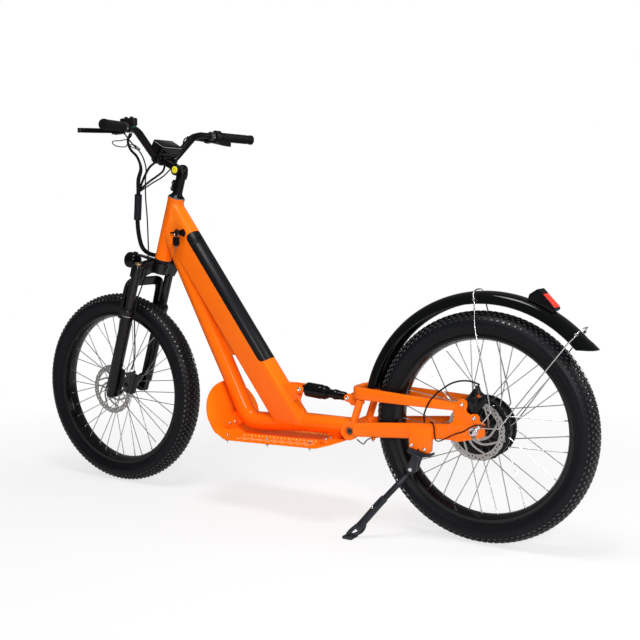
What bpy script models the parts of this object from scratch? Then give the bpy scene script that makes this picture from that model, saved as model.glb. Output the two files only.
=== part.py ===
"""Electric kick bike: boxed frame with battery, sprung fork, folding bars, swingarm and spoked wheels.

+X points forward, +Y to the rider's left and +Z up. The origin is on the floor, midway between the
axles. Lengths are written in millimetres, and mm() turns them into metres.
"""

import math

import bmesh
import bpy
from mathutils import Matrix, Vector

# Driving dimensions, in millimetres and degrees
WHEEL_RADIUS = 350.0
TYRE_DEPTH = 75.0
TYRE_HALF_WIDTH = 40.5
RIM_INNER_RADIUS = WHEEL_RADIUS - TYRE_DEPTH - 8.4
RIM_HALF_WIDTH = 25.75
REAR_AXLE_X = -718.3
WHEEL_SIDES = 36
SPOKES = 36
ROTOR_RADIUS = 90.0
ROTOR_Y = 55.0
HEAD_SLOPE = 17.2
STEERING_BASE = (664.8, 0.0, 333.4)
HEAD_TUBE_LOW = 519.5
HEAD_TUBE_HIGH = 745.7
HEAD_TUBE_RADIUS = 29.0
FORK_OFFSET = 56.0
HEAD_LEAN = math.radians(HEAD_SLOPE)
FRONT_AXLE_X = round(STEERING_BASE[0] + FORK_OFFSET * math.cos(HEAD_LEAN), 1)
AXLE_HEIGHT = round(STEERING_BASE[2] + FORK_OFFSET * math.sin(HEAD_LEAN), 1)
LEG_FORWARD = 30.0
ARCH_BACK = 52.6
LEG_HALF_SPACING = 91.0
STANCHION_RADIUS = 15.3
LOWER_RADIUS = 21.5
HINGE_FORWARD = 13.2
HINGE_RISE = 97.7
HINGE_HEIGHT = HEAD_TUBE_HIGH + HINGE_RISE
ARM_SLOPE = 29.0
CLAMP_REACH = 76.5
BAR_RADIUS = 12.7
GRIP_BAR_RADIUS = 11.1
DOWN_TUBE_SLOPE = 36.5
DOWN_TUBE_HALF_WIDTH = 35.0
DOWN_TUBE_FRONT = -160.0
DOWN_TUBE_FLAT_END = -240.0
DOWN_TUBE_BACK = -268.0
DOWN_TUBE_LOW = 180.0
DOWN_TUBE_HIGH = 1110.0
BATTERY_LOW = 432.0
BATTERY_HIGH = 960.0
SPINE_RADIUS = 31.0
DECK_HALF_WIDTH = 130.0
DECK_THICKNESS = 5.0
PIVOT = (-288.0, 0.0, 301.0)
SHOCK_FRONT_EYE = (-79.0, 0.0, 412.0)
SHOCK_REAR_EYE = (-261.0, 0.0, 399.0)
FENDER_CENTRE = (-730.0, 0.0, 349.0)
FENDER_CLEARANCE = 60.0
FENDER_RADIUS = WHEEL_RADIUS + FENDER_CLEARANCE
FENDER_START = 11.5
LOCK = (416.0, 0.0, 925.0)
STAND_PIVOT = (-524.0, 88.0, 217.0)
HUB_HALF_WIDTH = 61.5
GAP = 0.3


def clear_scene():
    for thing in list(bpy.data.objects):
        bpy.data.objects.remove(thing)


clear_scene()
PARTS = bpy.data.collections.new("parts")
TOOLS = bpy.data.collections.new("tools")
bpy.context.scene.collection.children.link(PARTS)
bpy.context.scene.collection.children.link(TOOLS)


def mm(x, y, z):
    return Vector((x, y, z)) * 0.001


def paint(name, colour, metallic, roughness):
    material = bpy.data.materials.new(name)
    material.use_nodes = True
    shader = material.node_tree.nodes["Principled BSDF"]
    shader.inputs["Base Color"].default_value = (*colour, 1.0)
    shader.inputs["Metallic"].default_value = metallic
    shader.inputs["Roughness"].default_value = roughness
    return material


ORANGE = paint("orange_paint", (0.95, 0.19, 0.015), 0.0, 0.28)
BLACK_PAINT = paint("black_paint", (0.012, 0.012, 0.014), 0.0, 0.3)
BLACK_METAL = paint("black_metal", (0.02, 0.02, 0.022), 0.6, 0.35)
BLACK_PLASTIC = paint("black_plastic", (0.014, 0.014, 0.016), 0.0, 0.45)
GLOSS_BLACK = paint("gloss_black", (0.01, 0.01, 0.012), 0.0, 0.12)
GRIP_RUBBER = paint("grip_rubber", (0.02, 0.02, 0.021), 0.0, 0.75)
TYRE_RUBBER = paint("tyre_rubber", (0.018, 0.018, 0.019), 0.0, 0.8)
CABLE_SKIN = paint("cable_skin", (0.012, 0.012, 0.013), 0.0, 0.5)
SILVER = paint("silver_steel", (0.62, 0.62, 0.62), 1.0, 0.28)
ROTOR_STEEL = paint("rotor_steel", (0.55, 0.54, 0.52), 1.0, 0.35)
CASE_BLACK = paint("battery_black", (0.016, 0.018, 0.021), 0.0, 0.38)
LAMP_CLEAR = paint("lamp_clear", (0.8, 0.82, 0.85), 0.0, 0.08)
LAMP_RED = paint("lamp_red", (0.7, 0.01, 0.01), 0.0, 0.15)
CAP_YELLOW = paint("cap_yellow", (0.9, 0.75, 0.0), 0.0, 0.4)
SCREEN_GLASS = paint("screen_glass", (0.03, 0.035, 0.035), 0.0, 0.1)


def empty(name, place, slope=0.0, parent=None):
    """A frame turned about Y, so that its Z axis leans by slope degrees towards +X."""
    thing = bpy.data.objects.new(name, None)
    thing.location = mm(*place)
    thing.rotation_euler = (0.0, math.radians(slope), 0.0)
    thing.parent = parent
    PARTS.objects.link(thing)
    return thing


# Everything is drawn with the axles at AXLE_HEIGHT, and CHASSIS lifts it to suit the wheels.
CHASSIS = empty("chassis_frame", (0, 0, WHEEL_RADIUS - AXLE_HEIGHT))
STEERING = empty("steering_frame", STEERING_BASE, -HEAD_SLOPE, CHASSIS)
DOWN = empty("down_tube_frame", (0, 0, 0), DOWN_TUBE_SLOPE, CHASSIS)
HINGE_X = (STEERING_BASE[0] + HINGE_FORWARD * math.cos(HEAD_LEAN)
           - HINGE_HEIGHT * math.sin(HEAD_LEAN))
HINGE_Z = (STEERING_BASE[2] + HINGE_FORWARD * math.sin(HEAD_LEAN)
           + HINGE_HEIGHT * math.cos(HEAD_LEAN))
ARM = empty("stem_arm_frame", (HINGE_X, 0, HINGE_Z), -ARM_SLOPE, CHASSIS)
BAR_CENTRE = (495.0, 0.0, 1180.0)
CLAMP_X = HINGE_X + CLAMP_REACH * math.cos(math.radians(ARM_SLOPE))
CLAMP_Z = HINGE_Z + CLAMP_REACH * math.sin(math.radians(ARM_SLOPE))
BARS = empty("bars_frame", (CLAMP_X - BAR_CENTRE[0], 0, CLAMP_Z - BAR_CENTRE[2]), 0.0, CHASSIS)
DISPLAY = empty("display_frame", (476.5, 0, 1239), -29.0, BARS)
SHOCK_DROP = math.degrees(math.atan2(13.0, 182.0))
SHOCK = empty("shock_frame", SHOCK_FRONT_EYE, -SHOCK_DROP, CHASSIS)


def take(name, bm, parent=None):
    bmesh.ops.remove_doubles(bm, verts=bm.verts, dist=1e-6)
    bmesh.ops.recalc_face_normals(bm, faces=bm.faces)
    mesh = bpy.data.meshes.new(name)
    bm.to_mesh(mesh)
    bm.free()
    thing = bpy.data.objects.new(name, mesh)
    TOOLS.objects.link(thing)
    thing.hide_render = True
    thing.display_type = "WIRE"
    thing.parent = parent
    return thing


def node(name, thing, material):
    """Make a finished shape one of the delivered parts."""
    TOOLS.objects.unlink(thing)
    PARTS.objects.link(thing)
    thing.name = name
    thing.data.name = name
    thing.hide_render = False
    thing.display_type = "TEXTURED"
    thing.data.materials.clear()
    thing.data.materials.append(material)
    return thing


def combine(operation, target, tools):
    for tool in tools:
        step = target.modifiers.new(operation.lower(), "BOOLEAN")
        step.operation = operation
        step.solver = "EXACT"
        step.object = tool
    return target


def fuse(target, *tools):
    return combine("UNION", target, tools)


def cut(target, *tools):
    return combine("DIFFERENCE", target, tools)


def towards(direction):
    return Vector(direction).to_track_quat("Z", "Y").to_matrix().to_4x4()


def rod(name, start, end, radius, sides=16, end_radius=None, parent=None):
    a = mm(*start)
    b = mm(*end)
    bm = bmesh.new()
    far = radius if end_radius is None else end_radius
    bmesh.ops.create_cone(
        bm, cap_ends=True, segments=sides, radius1=radius * 0.001, radius2=far * 0.001,
        depth=(b - a).length, matrix=Matrix.Translation((a + b) / 2) @ towards(b - a))
    return take(name, bm, parent)


def turned(name, outline, centre=(0, 0, 0), along=(0, 0, 1), sides=20, parent=None, phase=0.0):
    """Revolve a closed outline of (radius, height) points about a line."""
    place = Matrix.Translation(mm(*centre)) @ towards(along)
    bm = bmesh.new()
    rings = []
    for radius, height in outline:
        if radius < 1e-6:
            rings.append([bm.verts.new(place @ mm(0, 0, height))])
            continue
        ring = []
        for k in range(sides):
            angle = 2 * math.pi * (k + phase) / sides
            spot = mm(radius * math.cos(angle), radius * math.sin(angle), height)
            ring.append(bm.verts.new(place @ spot))
        rings.append(ring)
    for one, two in zip(rings, rings[1:] + rings[:1]):
        if len(one) == 1 and len(two) == 1:
            continue
        for k in range(sides):
            n = (k + 1) % sides
            if len(one) == 1:
                bm.faces.new((one[0], two[k], two[n]))
            elif len(two) == 1:
                bm.faces.new((one[k], one[n], two[0]))
            else:
                bm.faces.new((one[k], one[n], two[n], two[k]))
    return take(name, bm, parent)


def loft(name, rings, parent=None, closed=False):
    """Skin a row of equal point rings, in millimetres; closed joins the last ring to the first."""
    bm = bmesh.new()
    made = [[bm.verts.new(mm(*spot)) for spot in ring] for ring in rings]
    pairs = list(zip(made, made[1:]))
    if closed:
        pairs.append((made[-1], made[0]))
    for one, two in pairs:
        for k in range(len(one)):
            n = (k + 1) % len(one)
            bm.faces.new((one[k], one[n], two[n], two[k]))
    if not closed:
        bm.faces.new(made[0])
        bm.faces.new(list(reversed(made[-1])))
    return take(name, bm, parent)


def slab(name, outline, low, high, plane="XZ", parent=None, soften=0.0):
    """Extrude a flat outline from low to high along the axis that plane leaves out."""
    spots = {
        "XZ": lambda a, b, c: (a, c, b),
        "YZ": lambda a, b, c: (c, a, b),
        "XY": lambda a, b, c: (a, b, c),
    }[plane]
    bm = bmesh.new()
    near = [bm.verts.new(mm(*spots(a, b, low))) for a, b in outline]
    far = [bm.verts.new(mm(*spots(a, b, high))) for a, b in outline]
    rim = []
    for k in range(len(outline)):
        n = (k + 1) % len(outline)
        bm.faces.new((near[k], near[n], far[n], far[k]))
    bm.faces.new(near)
    bm.faces.new(list(reversed(far)))
    if soften:
        for k in range(len(outline)):
            n = (k + 1) % len(outline)
            rim.append(bm.edges.get((near[k], near[n])))
            rim.append(bm.edges.get((far[k], far[n])))
        bmesh.ops.bevel(bm, geom=rim, offset=soften * 0.001, segments=1, profile=0.5,
                        affect="EDGES")
    return take(name, bm, parent)


def block(name, centre, size, parent=None, soften=0.0, slope=0.0):
    bm = bmesh.new()
    place = Matrix.Translation(mm(*centre)) @ Matrix.Rotation(math.radians(slope), 4, "Y")
    bmesh.ops.create_cube(bm, size=1.0, matrix=place @ Matrix.Diagonal((*mm(*size), 1.0)))
    if soften:
        bmesh.ops.bevel(bm, geom=list(bm.edges), offset=soften * 0.001, segments=1, profile=0.5,
                        affect="EDGES")
    return take(name, bm, parent)


def joined(name, things, parent=None):
    """One mesh out of shapes that don't touch each other."""
    bm = bmesh.new()
    for thing in things:
        bm.from_mesh(thing.data)
        bpy.data.objects.remove(thing)
    return take(name, bm, parent)


def keep_on(frame):
    """Hang the shapes made so far, that have no frame yet, on a frame."""
    for thing in list(PARTS.objects) + list(TOOLS.objects):
        if thing.parent is None and thing is not CHASSIS:
            thing.parent = frame


def eased(points, radius, steps=4, closed=False):
    """Round the corners of a path or outline with short curves."""
    spots = [Vector(p) for p in points]
    radii = list(radius) if isinstance(radius, (list, tuple)) else [radius] * len(spots)
    out = []
    for k, spot in enumerate(spots):
        if not closed and k in (0, len(spots) - 1):
            out.append(tuple(spot))
            continue
        before = spots[k - 1] - spot
        after = spots[(k + 1) % len(spots)] - spot
        if radii[k] <= 0.0:
            out.append(tuple(spot))
            continue
        half = before.angle(after) / 2
        reach = min(radii[k] / math.tan(half), before.length * 0.48, after.length * 0.48)
        a = spot + before.normalized() * reach
        b = spot + after.normalized() * reach
        for j in range(steps + 1):
            t = j / steps
            out.append(tuple(a * (1 - t) ** 2 + spot * 2 * t * (1 - t) + b * t ** 2))
    return out


def flowing(points, steps=4):
    """A smooth line through the given points."""
    spots = [Vector(p) for p in points]
    spots = [spots[0] * 2 - spots[1]] + spots + [spots[-1] * 2 - spots[-2]]
    out = []
    for a, b, c, d in zip(spots, spots[1:], spots[2:], spots[3:]):
        for j in range(steps):
            t = j / steps
            out.append(tuple(0.5 * (b * 2 + (c - a) * t + (a * 2 - b * 5 + c * 4 - d) * t * t
                                    + (b * 3 - a - c * 3 + d) * t ** 3)))
    out.append(tuple(spots[-2]))
    return out


def sweep(name, points, radius, sides=8, parent=None):
    """A round bar along a path; radius is one number or one for each point."""
    spots = [Vector(p) for p in points]
    radii = list(radius) if isinstance(radius, (list, tuple)) else [radius] * len(spots)
    heading = (spots[1] - spots[0]).normalized()
    side = heading.orthogonal().normalized()
    rings = []
    for k, spot in enumerate(spots):
        if 0 < k < len(spots) - 1:
            ahead = (spots[k + 1] - spot).normalized() + (spot - spots[k - 1]).normalized()
        elif k == 0:
            ahead = spots[1] - spots[0]
        else:
            ahead = spot - spots[k - 1]
        ahead.normalize()
        side = (side - ahead * side.dot(ahead)).normalized()
        other = ahead.cross(side)
        ring = []
        for j in range(sides):
            angle = 2 * math.pi * (j + 0.5) / sides
            ring.append(spot + (side * math.cos(angle) + other * math.sin(angle)) * radii[k])
        rings.append(ring)
    return loft(name, rings, parent)


def arc(centre, radius, start, end, steps):
    turn = [math.radians(start + (end - start) * k / steps) for k in range(steps + 1)]
    return [(centre[0] + radius * math.cos(a), centre[1] + radius * math.sin(a)) for a in turn]


# Frame

SPINE_PATH = eased(
    [(470, 0, 919.5), (376, 0, 740), (334, 0, 660), (280, 0, 556), (203, 0, 411), (137, 0, 284),
     (48, 0, 288), (-92, 0, 301), (-268, 0, 302)],
    [0, 0, 0, 0, 0, 110, 0, 0, 0], 6)


def head_tube():
    wide = HEAD_TUBE_RADIUS
    outline = [(22, HEAD_TUBE_LOW), (wide + 1, HEAD_TUBE_LOW), (wide + 1, 527), (wide, 529),
               (wide, 735), (wide + 1, 737), (wide + 1, HEAD_TUBE_HIGH), (22, HEAD_TUBE_HIGH)]
    node("head_tube", turned("head", outline, sides=24, parent=STEERING), ORANGE)


def head_tube_room(name):
    """Solid that clears the head tube and its collars by the usual gap."""
    wide = HEAD_TUBE_RADIUS + GAP
    outline = [(0, 480), (wide + 1, 480), (wide + 1, 527.4), (wide, 529.4), (wide, 734.6),
               (wide + 1, 736.6), (wide + 1, 820), (0, 820)]
    return turned(name, outline, sides=24, parent=STEERING)


def down_section(half_width, front, grow=0.0):
    """Outline of the down tube in its own frame: flat front, flat sides and a rounded back."""
    side = half_width + grow
    front = front + grow
    back = []
    for k in range(9):
        angle = math.pi * k / 8
        depth = DOWN_TUBE_BACK - DOWN_TUBE_FLAT_END - grow
        back.append((DOWN_TUBE_FLAT_END + depth * math.sin(angle), side * math.cos(angle)))
    corner = 12.0
    ahead = [(front - corner, -side), (front - corner * 0.3, -side + corner * 0.3),
             (front, -side + corner), (front, side - corner),
             (front - corner * 0.3, side - corner * 0.3), (front - corner, side)]
    return back + ahead


def down_solid(name, low, high, grow=0.0):
    rings = []
    for w in (low, high):
        rings.append([(u, y, w) for u, y in down_section(DOWN_TUBE_HALF_WIDTH, DOWN_TUBE_FRONT,
                                                          grow)])
    return loft(name, rings, DOWN)


def battery_outline(grow):
    """Side outline of the battery cap, with rounded ends, in the down tube's frame."""
    seam = -236.0 + grow
    low = BATTERY_LOW - grow
    high = BATTERY_HIGH + grow
    return eased([(-300, low), (seam, low), (seam, high), (-300, high)], [0, 26, 26, 0], 5, True)


def down_tube():
    tube = down_solid("tube", DOWN_TUBE_LOW, DOWN_TUBE_HIGH)
    web = slab("web", [(206, 556), (279, 556), (334, 660), (376, 740), (346, 745)], -5, 5)
    cut(web, sweep("spine_for_web", SPINE_PATH, SPINE_RADIUS + GAP, 16))
    ears = []
    eye = (SHOCK_FRONT_EYE[0], SHOCK_FRONT_EYE[2])
    outline = [(5, 424), (-40, 427)] + arc(eye, 14, 90, 300, 8) + [(-66, 392), (-57, 366),
                                                                  (-10, 366)]
    for side in (-1, 1):
        ears.append(slab("ear", outline, min(side * 16, side * 21.5), max(side * 16, side * 21.5)))
    ear = joined("ears", ears)
    cut(ear, rod("ear_bore", (eye[0], -40, eye[1]), (eye[0], 40, eye[1]), 5.3, 16))
    fuse(tube, web, ear)
    ahead = block("ahead", (80 + GAP, 0, 680), (160, 120, 640), STEERING)
    cheeks = []
    for side in (-1, 1):
        flank = [(-118, side * 35.6), (4, side * 27), (4, side * 60), (-118, side * 60)]
        cheeks.append(slab("cheek", flank, 480, 800, "XY"))
    over = block("over", (-60, 0, HEAD_TUBE_HIGH - 9 + 60), (400, 140, 120), STEERING)
    under = block("under", (0, 0, 295 - 150), (500, 140, 300))
    head = head_tube_room("head_for_tube")
    foot = sweep("spine_for_foot", [(120, 0, 281.3), (48, 0, 288), (-92, 0, 301), (-250, 0, 303)],
                 SPINE_RADIUS + GAP, 16)
    cap = slab("bay_cap", battery_outline(0.4), -60, 60, parent=DOWN)
    middle = (BATTERY_LOW + BATTERY_HIGH) / 2
    length = BATTERY_HIGH - BATTERY_LOW
    bay = block("bay", (-221, 0, middle), (60, 2 * DOWN_TUBE_HALF_WIDTH - 9, length - 20), DOWN,
                soften=4)
    lock = rod("lock_bore", (LOCK[0], 20, LOCK[2]), (LOCK[0], 50, LOCK[2]), 9.4, 20)
    cut(tube, joined("cheeks", cheeks, STEERING), ahead, over, under, head, foot, cap, bay, lock)
    node("down_tube", tube, ORANGE)


def spine_tube():
    tube = sweep("spine", SPINE_PATH, SPINE_RADIUS, 16)
    shell = rod("pivot_shell", (PIVOT[0], -38, PIVOT[2]), (PIVOT[0], 38, PIVOT[2]), 25, 24)
    front_tab = slab("front_tab", [(189.0, 268.2), (190.9, 272.1), (122, 301), (119, 296)], -74, 74)
    rear_tab = slab("rear_tab", [(-186, 256), (-188, 260), (-240, 288), (-243, 284)], -72, 72)
    fuse(tube, shell, front_tab, rear_tab)
    bolts = []
    for x, z in ((182, 274.2), (150, 288), (-200, 267), (-226, 281)):
        for y in (-60, 60):
            lean = 0.38 if x > 0 else -0.49
            top = (x + 7 * lean, y, z + 7)
            bolts.append(rod("bolt", (x - 2 * lean, y, z - 2), top, 4.8, 6))
    fuse(tube, joined("tab_bolts", bolts))
    head = head_tube_room("head_for_spine")
    ahead = block("ahead_of_head", (100, 0, 680), (200, 120, 640), STEERING)
    box = down_solid("tube_for_spine", 560, DOWN_TUBE_HIGH + 30, GAP)
    bore = rod("shell_bore", (PIVOT[0], -50, PIVOT[2]), (PIVOT[0], 50, PIVOT[2]), 8.3, 24)
    cut(tube, head, ahead, box, bore)
    node("spine_tube", tube, ORANGE)


DECK_LINE = [(259, 436), (243, 397), (226, 355), (207, 305), (190, 262), (150, 239.5), (60, 242),
             (-205, 251.5), (-262, 266)]


def deck_half_width(run, whole):
    ahead = max(0.0, (90 - run) / 90)
    behind = max(0.0, (run - (whole - 62)) / 62)
    return DECK_HALF_WIDTH * math.sqrt(max(0.02, 1 - ahead ** 2)) * math.sqrt(
        max(0.16, 1 - 0.9 * behind ** 2))


def deck_plate():
    line = [Vector((x, z)) for x, z in eased(DECK_LINE, [0, 0, 0, 0, 26, 34, 0, 60, 0], 3)]
    even = [line[0]]
    for a, b in zip(line, line[1:]):
        count = max(1, round((b - a).length / 24)) if (b[0] > 190 or b[0] < -200) else 1
        for k in range(count):
            even.append(a.lerp(b, (k + 1) / count))
    start = [even[0].lerp(even[1], t) for t in (0.12, 0.35)]
    even = even[:1] + start + even[1:]
    runs = [0.0]
    for a, b in zip(even, even[1:]):
        runs.append(runs[-1] + (b - a).length)
    rings = []
    for k, spot in enumerate(even):
        ahead = even[min(k + 1, len(even) - 1)] - even[max(k - 1, 0)]
        normal = Vector((-ahead[1], ahead[0])).normalized() * DECK_THICKNESS / 2
        wide = deck_half_width(runs[k], runs[-1])
        up = spot + normal
        low = spot - normal
        rings.append([(up[0], -wide, up[1]), (up[0], wide, up[1]), (low[0], wide, low[1]),
                      (low[0], -wide, low[1])])
    plate = loft("plate", rings)
    ribs = []
    for k in range(10):
        x = 112 - 30 * k
        z = 242 - 0.0358 * (x - 60)
        for side in (-1, 1):
            rib = block("rib", (0, 0, 0), (52, 5, 4))
            turn = Matrix.Rotation(math.radians(side * 34), 4, "Z")
            rib.data.transform(Matrix.Translation(mm(x, side * 96, z + 1.3)) @ turn)
            ribs.append(rib)
    studs = []
    for x, y, z in ((155, 107, 240), (-8, 108, 244.5), (-170, 104, 250.3)):
        for side in (-1, 1):
            studs.append(rod("stud", (x, side * y, z - 18), (x, side * y, z + 10), 4, 6))
    fuse(plate, joined("ribs", ribs), joined("studs", studs))
    node("deck_plate", plate, ORANGE)


def headset_cup():
    outline = [(14.6, 507), (27, 507), (29.5, 510), (29.5, 519.2), (21.7, 519.2), (21.7, 532),
               (14.6, 532)]
    node("headset_cup", turned("cup", outline, sides=24, parent=STEERING), BLACK_METAL)


def lock_cylinder():
    outline = [(0, 21), (9, 21), (9, 34.6), (12.5, 34.6), (12.5, 36.5), (11, 38.5), (0, 38.5)]
    body = turned("lock", outline, LOCK, (0, 1, 0), 20)
    well = rod("plug_well", (LOCK[0], 30, LOCK[2]), (LOCK[0], 42, LOCK[2]), 4.6, 12)
    node("lock_cylinder", cut(body, well), BLACK_METAL)


def key():
    """Key with the round plug that turns with it."""
    x, z = LOCK[0], LOCK[2]
    blade = block("key_blade", (x, 41, z), (7.6, 8, 1.8))
    plug = rod("plug", (x, 30.4, z), (x, 37.9, z), 4.2, 12)
    bow = slab("key_bow", eased([(x - 14, z - 3), (x + 14, z - 3), (x + 14, z + 3),
                                 (x - 14, z + 3)], 2.6, 2, True), 43, 66)
    hole = rod("key_hole", (x, 60, z - 25), (x, 60, z + 25), 3.2, 8)
    node("key", cut(fuse(bow, blade, plug), hole), BLACK_PLASTIC)


def swing_axle():
    shaft = rod("shaft", (PIVOT[0], -48, PIVOT[2]), (PIVOT[0], 48, PIVOT[2]), 8, 24)
    heads = []
    for side in (-1, 1):
        heads.append(rod("head", (PIVOT[0], side * 44, PIVOT[2]), (PIVOT[0], side * 52, PIVOT[2]),
                         12.2, 6))
    node("swing_axle", fuse(shaft, joined("heads", heads)), BLACK_METAL)


def battery_case():
    half = DOWN_TUBE_HALF_WIDTH
    case = down_solid("case", BATTERY_LOW - 6, BATTERY_HIGH + 6)
    keep = slab("case_outline", battery_outline(0.0), -60, 60, parent=DOWN)
    step = case.modifiers.new("outline", "BOOLEAN")
    step.operation = "INTERSECT"
    step.solver = "EXACT"
    step.object = keep
    middle = (BATTERY_LOW + BATTERY_HIGH) / 2
    length = BATTERY_HIGH - BATTERY_LOW
    tongue = block("tongue", (-226, 0, middle), (29, 2 * half - 10, length - 28), DOWN, soften=3)
    pull = block("pull", (DOWN_TUBE_BACK, 0, BATTERY_HIGH - 30), (16, half - 1, 12), DOWN, soften=3)
    node("battery_case", cut(fuse(case, tongue), pull), CASE_BLACK)


# Fork and steering


DROPOUT_INNER = HUB_HALF_WIDTH + 6.3
DROPOUT_OUTER = LEG_HALF_SPACING - 11.0


def fork_crown():
    leg = LEG_HALF_SPACING
    half = [(26, 506.3), (60, 499), (leg, 490), (leg + 15, 470), (leg + 5, 448), (leg - 19, 446),
            (leg - 29, 456), (40, 464)]
    arch = half + [(0, 467)] + [(-a, b) for a, b in reversed(half)]
    bridge = slab("bridge", arch, 6, 46, "YZ", STEERING)
    neck = rod("neck", (0, 0, 467), (0, 0, 506.5), 26, 20, parent=STEERING)
    column = rod("column", (0, 0, 480), (0, 0, HINGE_HEIGHT - 43.4), 14.3, 20, parent=STEERING)
    sockets = []
    bores = []
    for side in (-1, 1):
        profile = [(0, 446), (21.5, 446), (21.5, 484), (18, 491), (12, 493), (0, 493)]
        sockets.append(turned("socket", profile, (LEG_FORWARD, side * LEG_HALF_SPACING, 0), sides=16))
        bores.append(rod("socket_bore", (LEG_FORWARD, side * LEG_HALF_SPACING, 440),
                         (LEG_FORWARD, side * LEG_HALF_SPACING, 482), STANCHION_RADIUS + 0.5, 16))
    lamp_strap = slab("lamp_strap", [(30, 500), (118, 497), (118, 501), (30, 510)], -11, 11,
                      "XZ", STEERING)
    fuse(bridge, joined("sockets", sockets, STEERING), neck, column, lamp_strap)
    node("fork_crown", cut(bridge, joined("bores", bores, STEERING)), BLACK_PAINT)


def stanchion(name, side):
    y = side * LEG_HALF_SPACING
    bar = rod(name, (LEG_FORWARD, y, 118), (LEG_FORWARD, y, 481.7), STANCHION_RADIUS, 16,
              parent=STEERING)
    node(name, bar, BLACK_METAL)


def headlight():
    centre = (650.0, 0.0, 823.0)
    shell = [(0, -22), (16, -21), (25, -15), (28.5, -4), (28.5, 22), (26.5, 23.5), (24.8, 20),
             (0, 18)]
    body = turned("light", shell, centre, (1, 0, 0.12), 20)
    foot = rod("light_foot", (643, 0, 840), (637, 0, 856), 9, 16)
    strap = slab("strap_for_light", [(28, 499.7), (120, 496.7), (120, 520), (28, 520)], -11.3, 11.3,
                 "XZ", STEERING)
    node("headlight_body", cut(fuse(body, foot), strap), BLACK_PLASTIC)
    lens = [(0, 18.3), (24.4, 20.3), (24.2, 22), (14, 24), (0, 25)]
    node("headlight_lens", turned("lens", lens, centre, (1, 0, 0.12), 20), LAMP_CLEAR)


def stem_post():
    foot = HEAD_TUBE_HIGH + 0.5
    top = HINGE_HEIGHT
    profile = [(14.6, foot), (29, foot), (29, foot + 3.3), (20, foot + 12.8), (17, foot + 15.8),
               (17, top - 3.4), (12, top + 9.6), (0, top + 14.6), (0, top - 41.4),
               (14.6, top - 41.4)]
    post = turned("post", profile, sides=18, parent=STEERING)
    knuckle = rod("knuckle", (HINGE_FORWARD, -25, HINGE_HEIGHT),
                  (HINGE_FORWARD, 25, HINGE_HEIGHT), 19.5, 16, parent=STEERING)
    back = slab("knuckle_back", [(-16, top - 31.4), (20, top - 17.4), (26, top - 0.4),
                                 (8, top + 18.6), (-9, top + 12.6), (-17, top - 5.4)], -17, 17,
                "XZ", STEERING, soften=4)
    clamp = block("post_clamp", (20.5, 0, top - 57.4), (10, 22, 40), STEERING, soften=2)
    bolts = []
    for h in (top - 67.4, top - 48.4):
        bolts.append(rod("clamp_bolt", (21.5, -15, h), (21.5, 15, h), 4, 6))
    slot = block("knuckle_slot", (HINGE_FORWARD + 11, 0, HINGE_HEIGHT + 8), (62, 25.2, 60),
                 STEERING)
    keep = rod("hinge_bore", (HINGE_FORWARD, -30, HINGE_HEIGHT), (HINGE_FORWARD, 30, HINGE_HEIGHT),
               5.3, 12, parent=STEERING)
    fuse(post, knuckle, back, clamp, joined("clamp_bolts", bolts, STEERING))
    node("stem_post", cut(post, slot, keep), BLACK_METAL)


def hinge_bolt():
    shaft = rod("hinge_shaft", (0, -32, 0), (0, 27, 0), 5, 12, parent=ARM)
    cap = turned("hinge_cap", [(0, 25.4), (12, 25.4), (12, 27.5), (10, 29), (0, 29)],
                 (0, 0, 0), (0, 1, 0), 20, ARM)
    nut = rod("hinge_nut", (0, -25.4, 0), (0, -31, 0), 9, 6, parent=ARM)
    node("hinge_bolt", fuse(shaft, cap, nut), CAP_YELLOW)


def stem_arm():
    barrel = rod("barrel", (0, -12.2, 0), (0, 12.2, 0), 17, 20, parent=ARM)
    beam = slab("beam", [(1, -11.7), (24, -11.7), (52, -19.3), (75, -19.3), (75, 19.3), (52, 19.3),
                         (24, 11.7), (1, 11.7)], -12.3, 12.3, "XY", ARM)
    clamp = rod("clamp", (CLAMP_REACH, -20, 0), (CLAMP_REACH, 20, 0), 20, 20, parent=ARM)
    front = block("clamp_front", (CLAMP_REACH + 25.5, 0, 0), (50, 60, 60), ARM)
    bar = rod("bar_for_clamp", (CLAMP_REACH, -40, 0), (CLAMP_REACH, 40, 0), BAR_RADIUS + 0.6, 16,
              parent=ARM)
    bore = rod("barrel_bore", (0, -30, 0), (0, 30, 0), 5.3, 12, parent=ARM)
    fuse(barrel, beam, clamp)
    node("stem_arm", cut(barrel, front, bar, bore), BLACK_METAL)
    face = rod("face", (CLAMP_REACH, -20, 0), (CLAMP_REACH, 20, 0), 20, 20, parent=ARM)
    back = block("face_back", (CLAMP_REACH - 23.8, 0, 0), (50, 60, 60), ARM)
    other_bar = rod("bar_for_face", (CLAMP_REACH, -40, 0), (CLAMP_REACH, 40, 0), BAR_RADIUS + 0.6,
                    16, parent=ARM)
    bolts = []
    for y in (-12, 12):
        for z in (-16.5, 16.5):
            bolts.append(rod("face_bolt", (CLAMP_REACH + 4, y, z), (CLAMP_REACH + 14, y, z), 3, 8))
    fuse(face, joined("face_bolts", bolts, ARM))
    node("stem_faceplate", cut(face, back, other_bar), BLACK_METAL)


BAR_HALF = [(495, 0, 1180), (495, 34, 1180), (491, 56, 1190), (484, 148, 1268), (476.8, 184, 1277.8),
            (450, 260, 1275), (402, 396, 1270)]
GRIP_INNER = (450.0, 260.0, 1275.0)
GRIP_OUTER = (402.0, 396.0, 1270.0)


def along_bar(run):
    """Point on the grip part of the left bar, run millimetres out from y = 260."""
    a = Vector(GRIP_INNER)
    b = Vector(GRIP_OUTER)
    return tuple(a + (b - a).normalized() * run)


def flip(spot, side):
    return (spot[0], spot[1] * side, spot[2])


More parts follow.
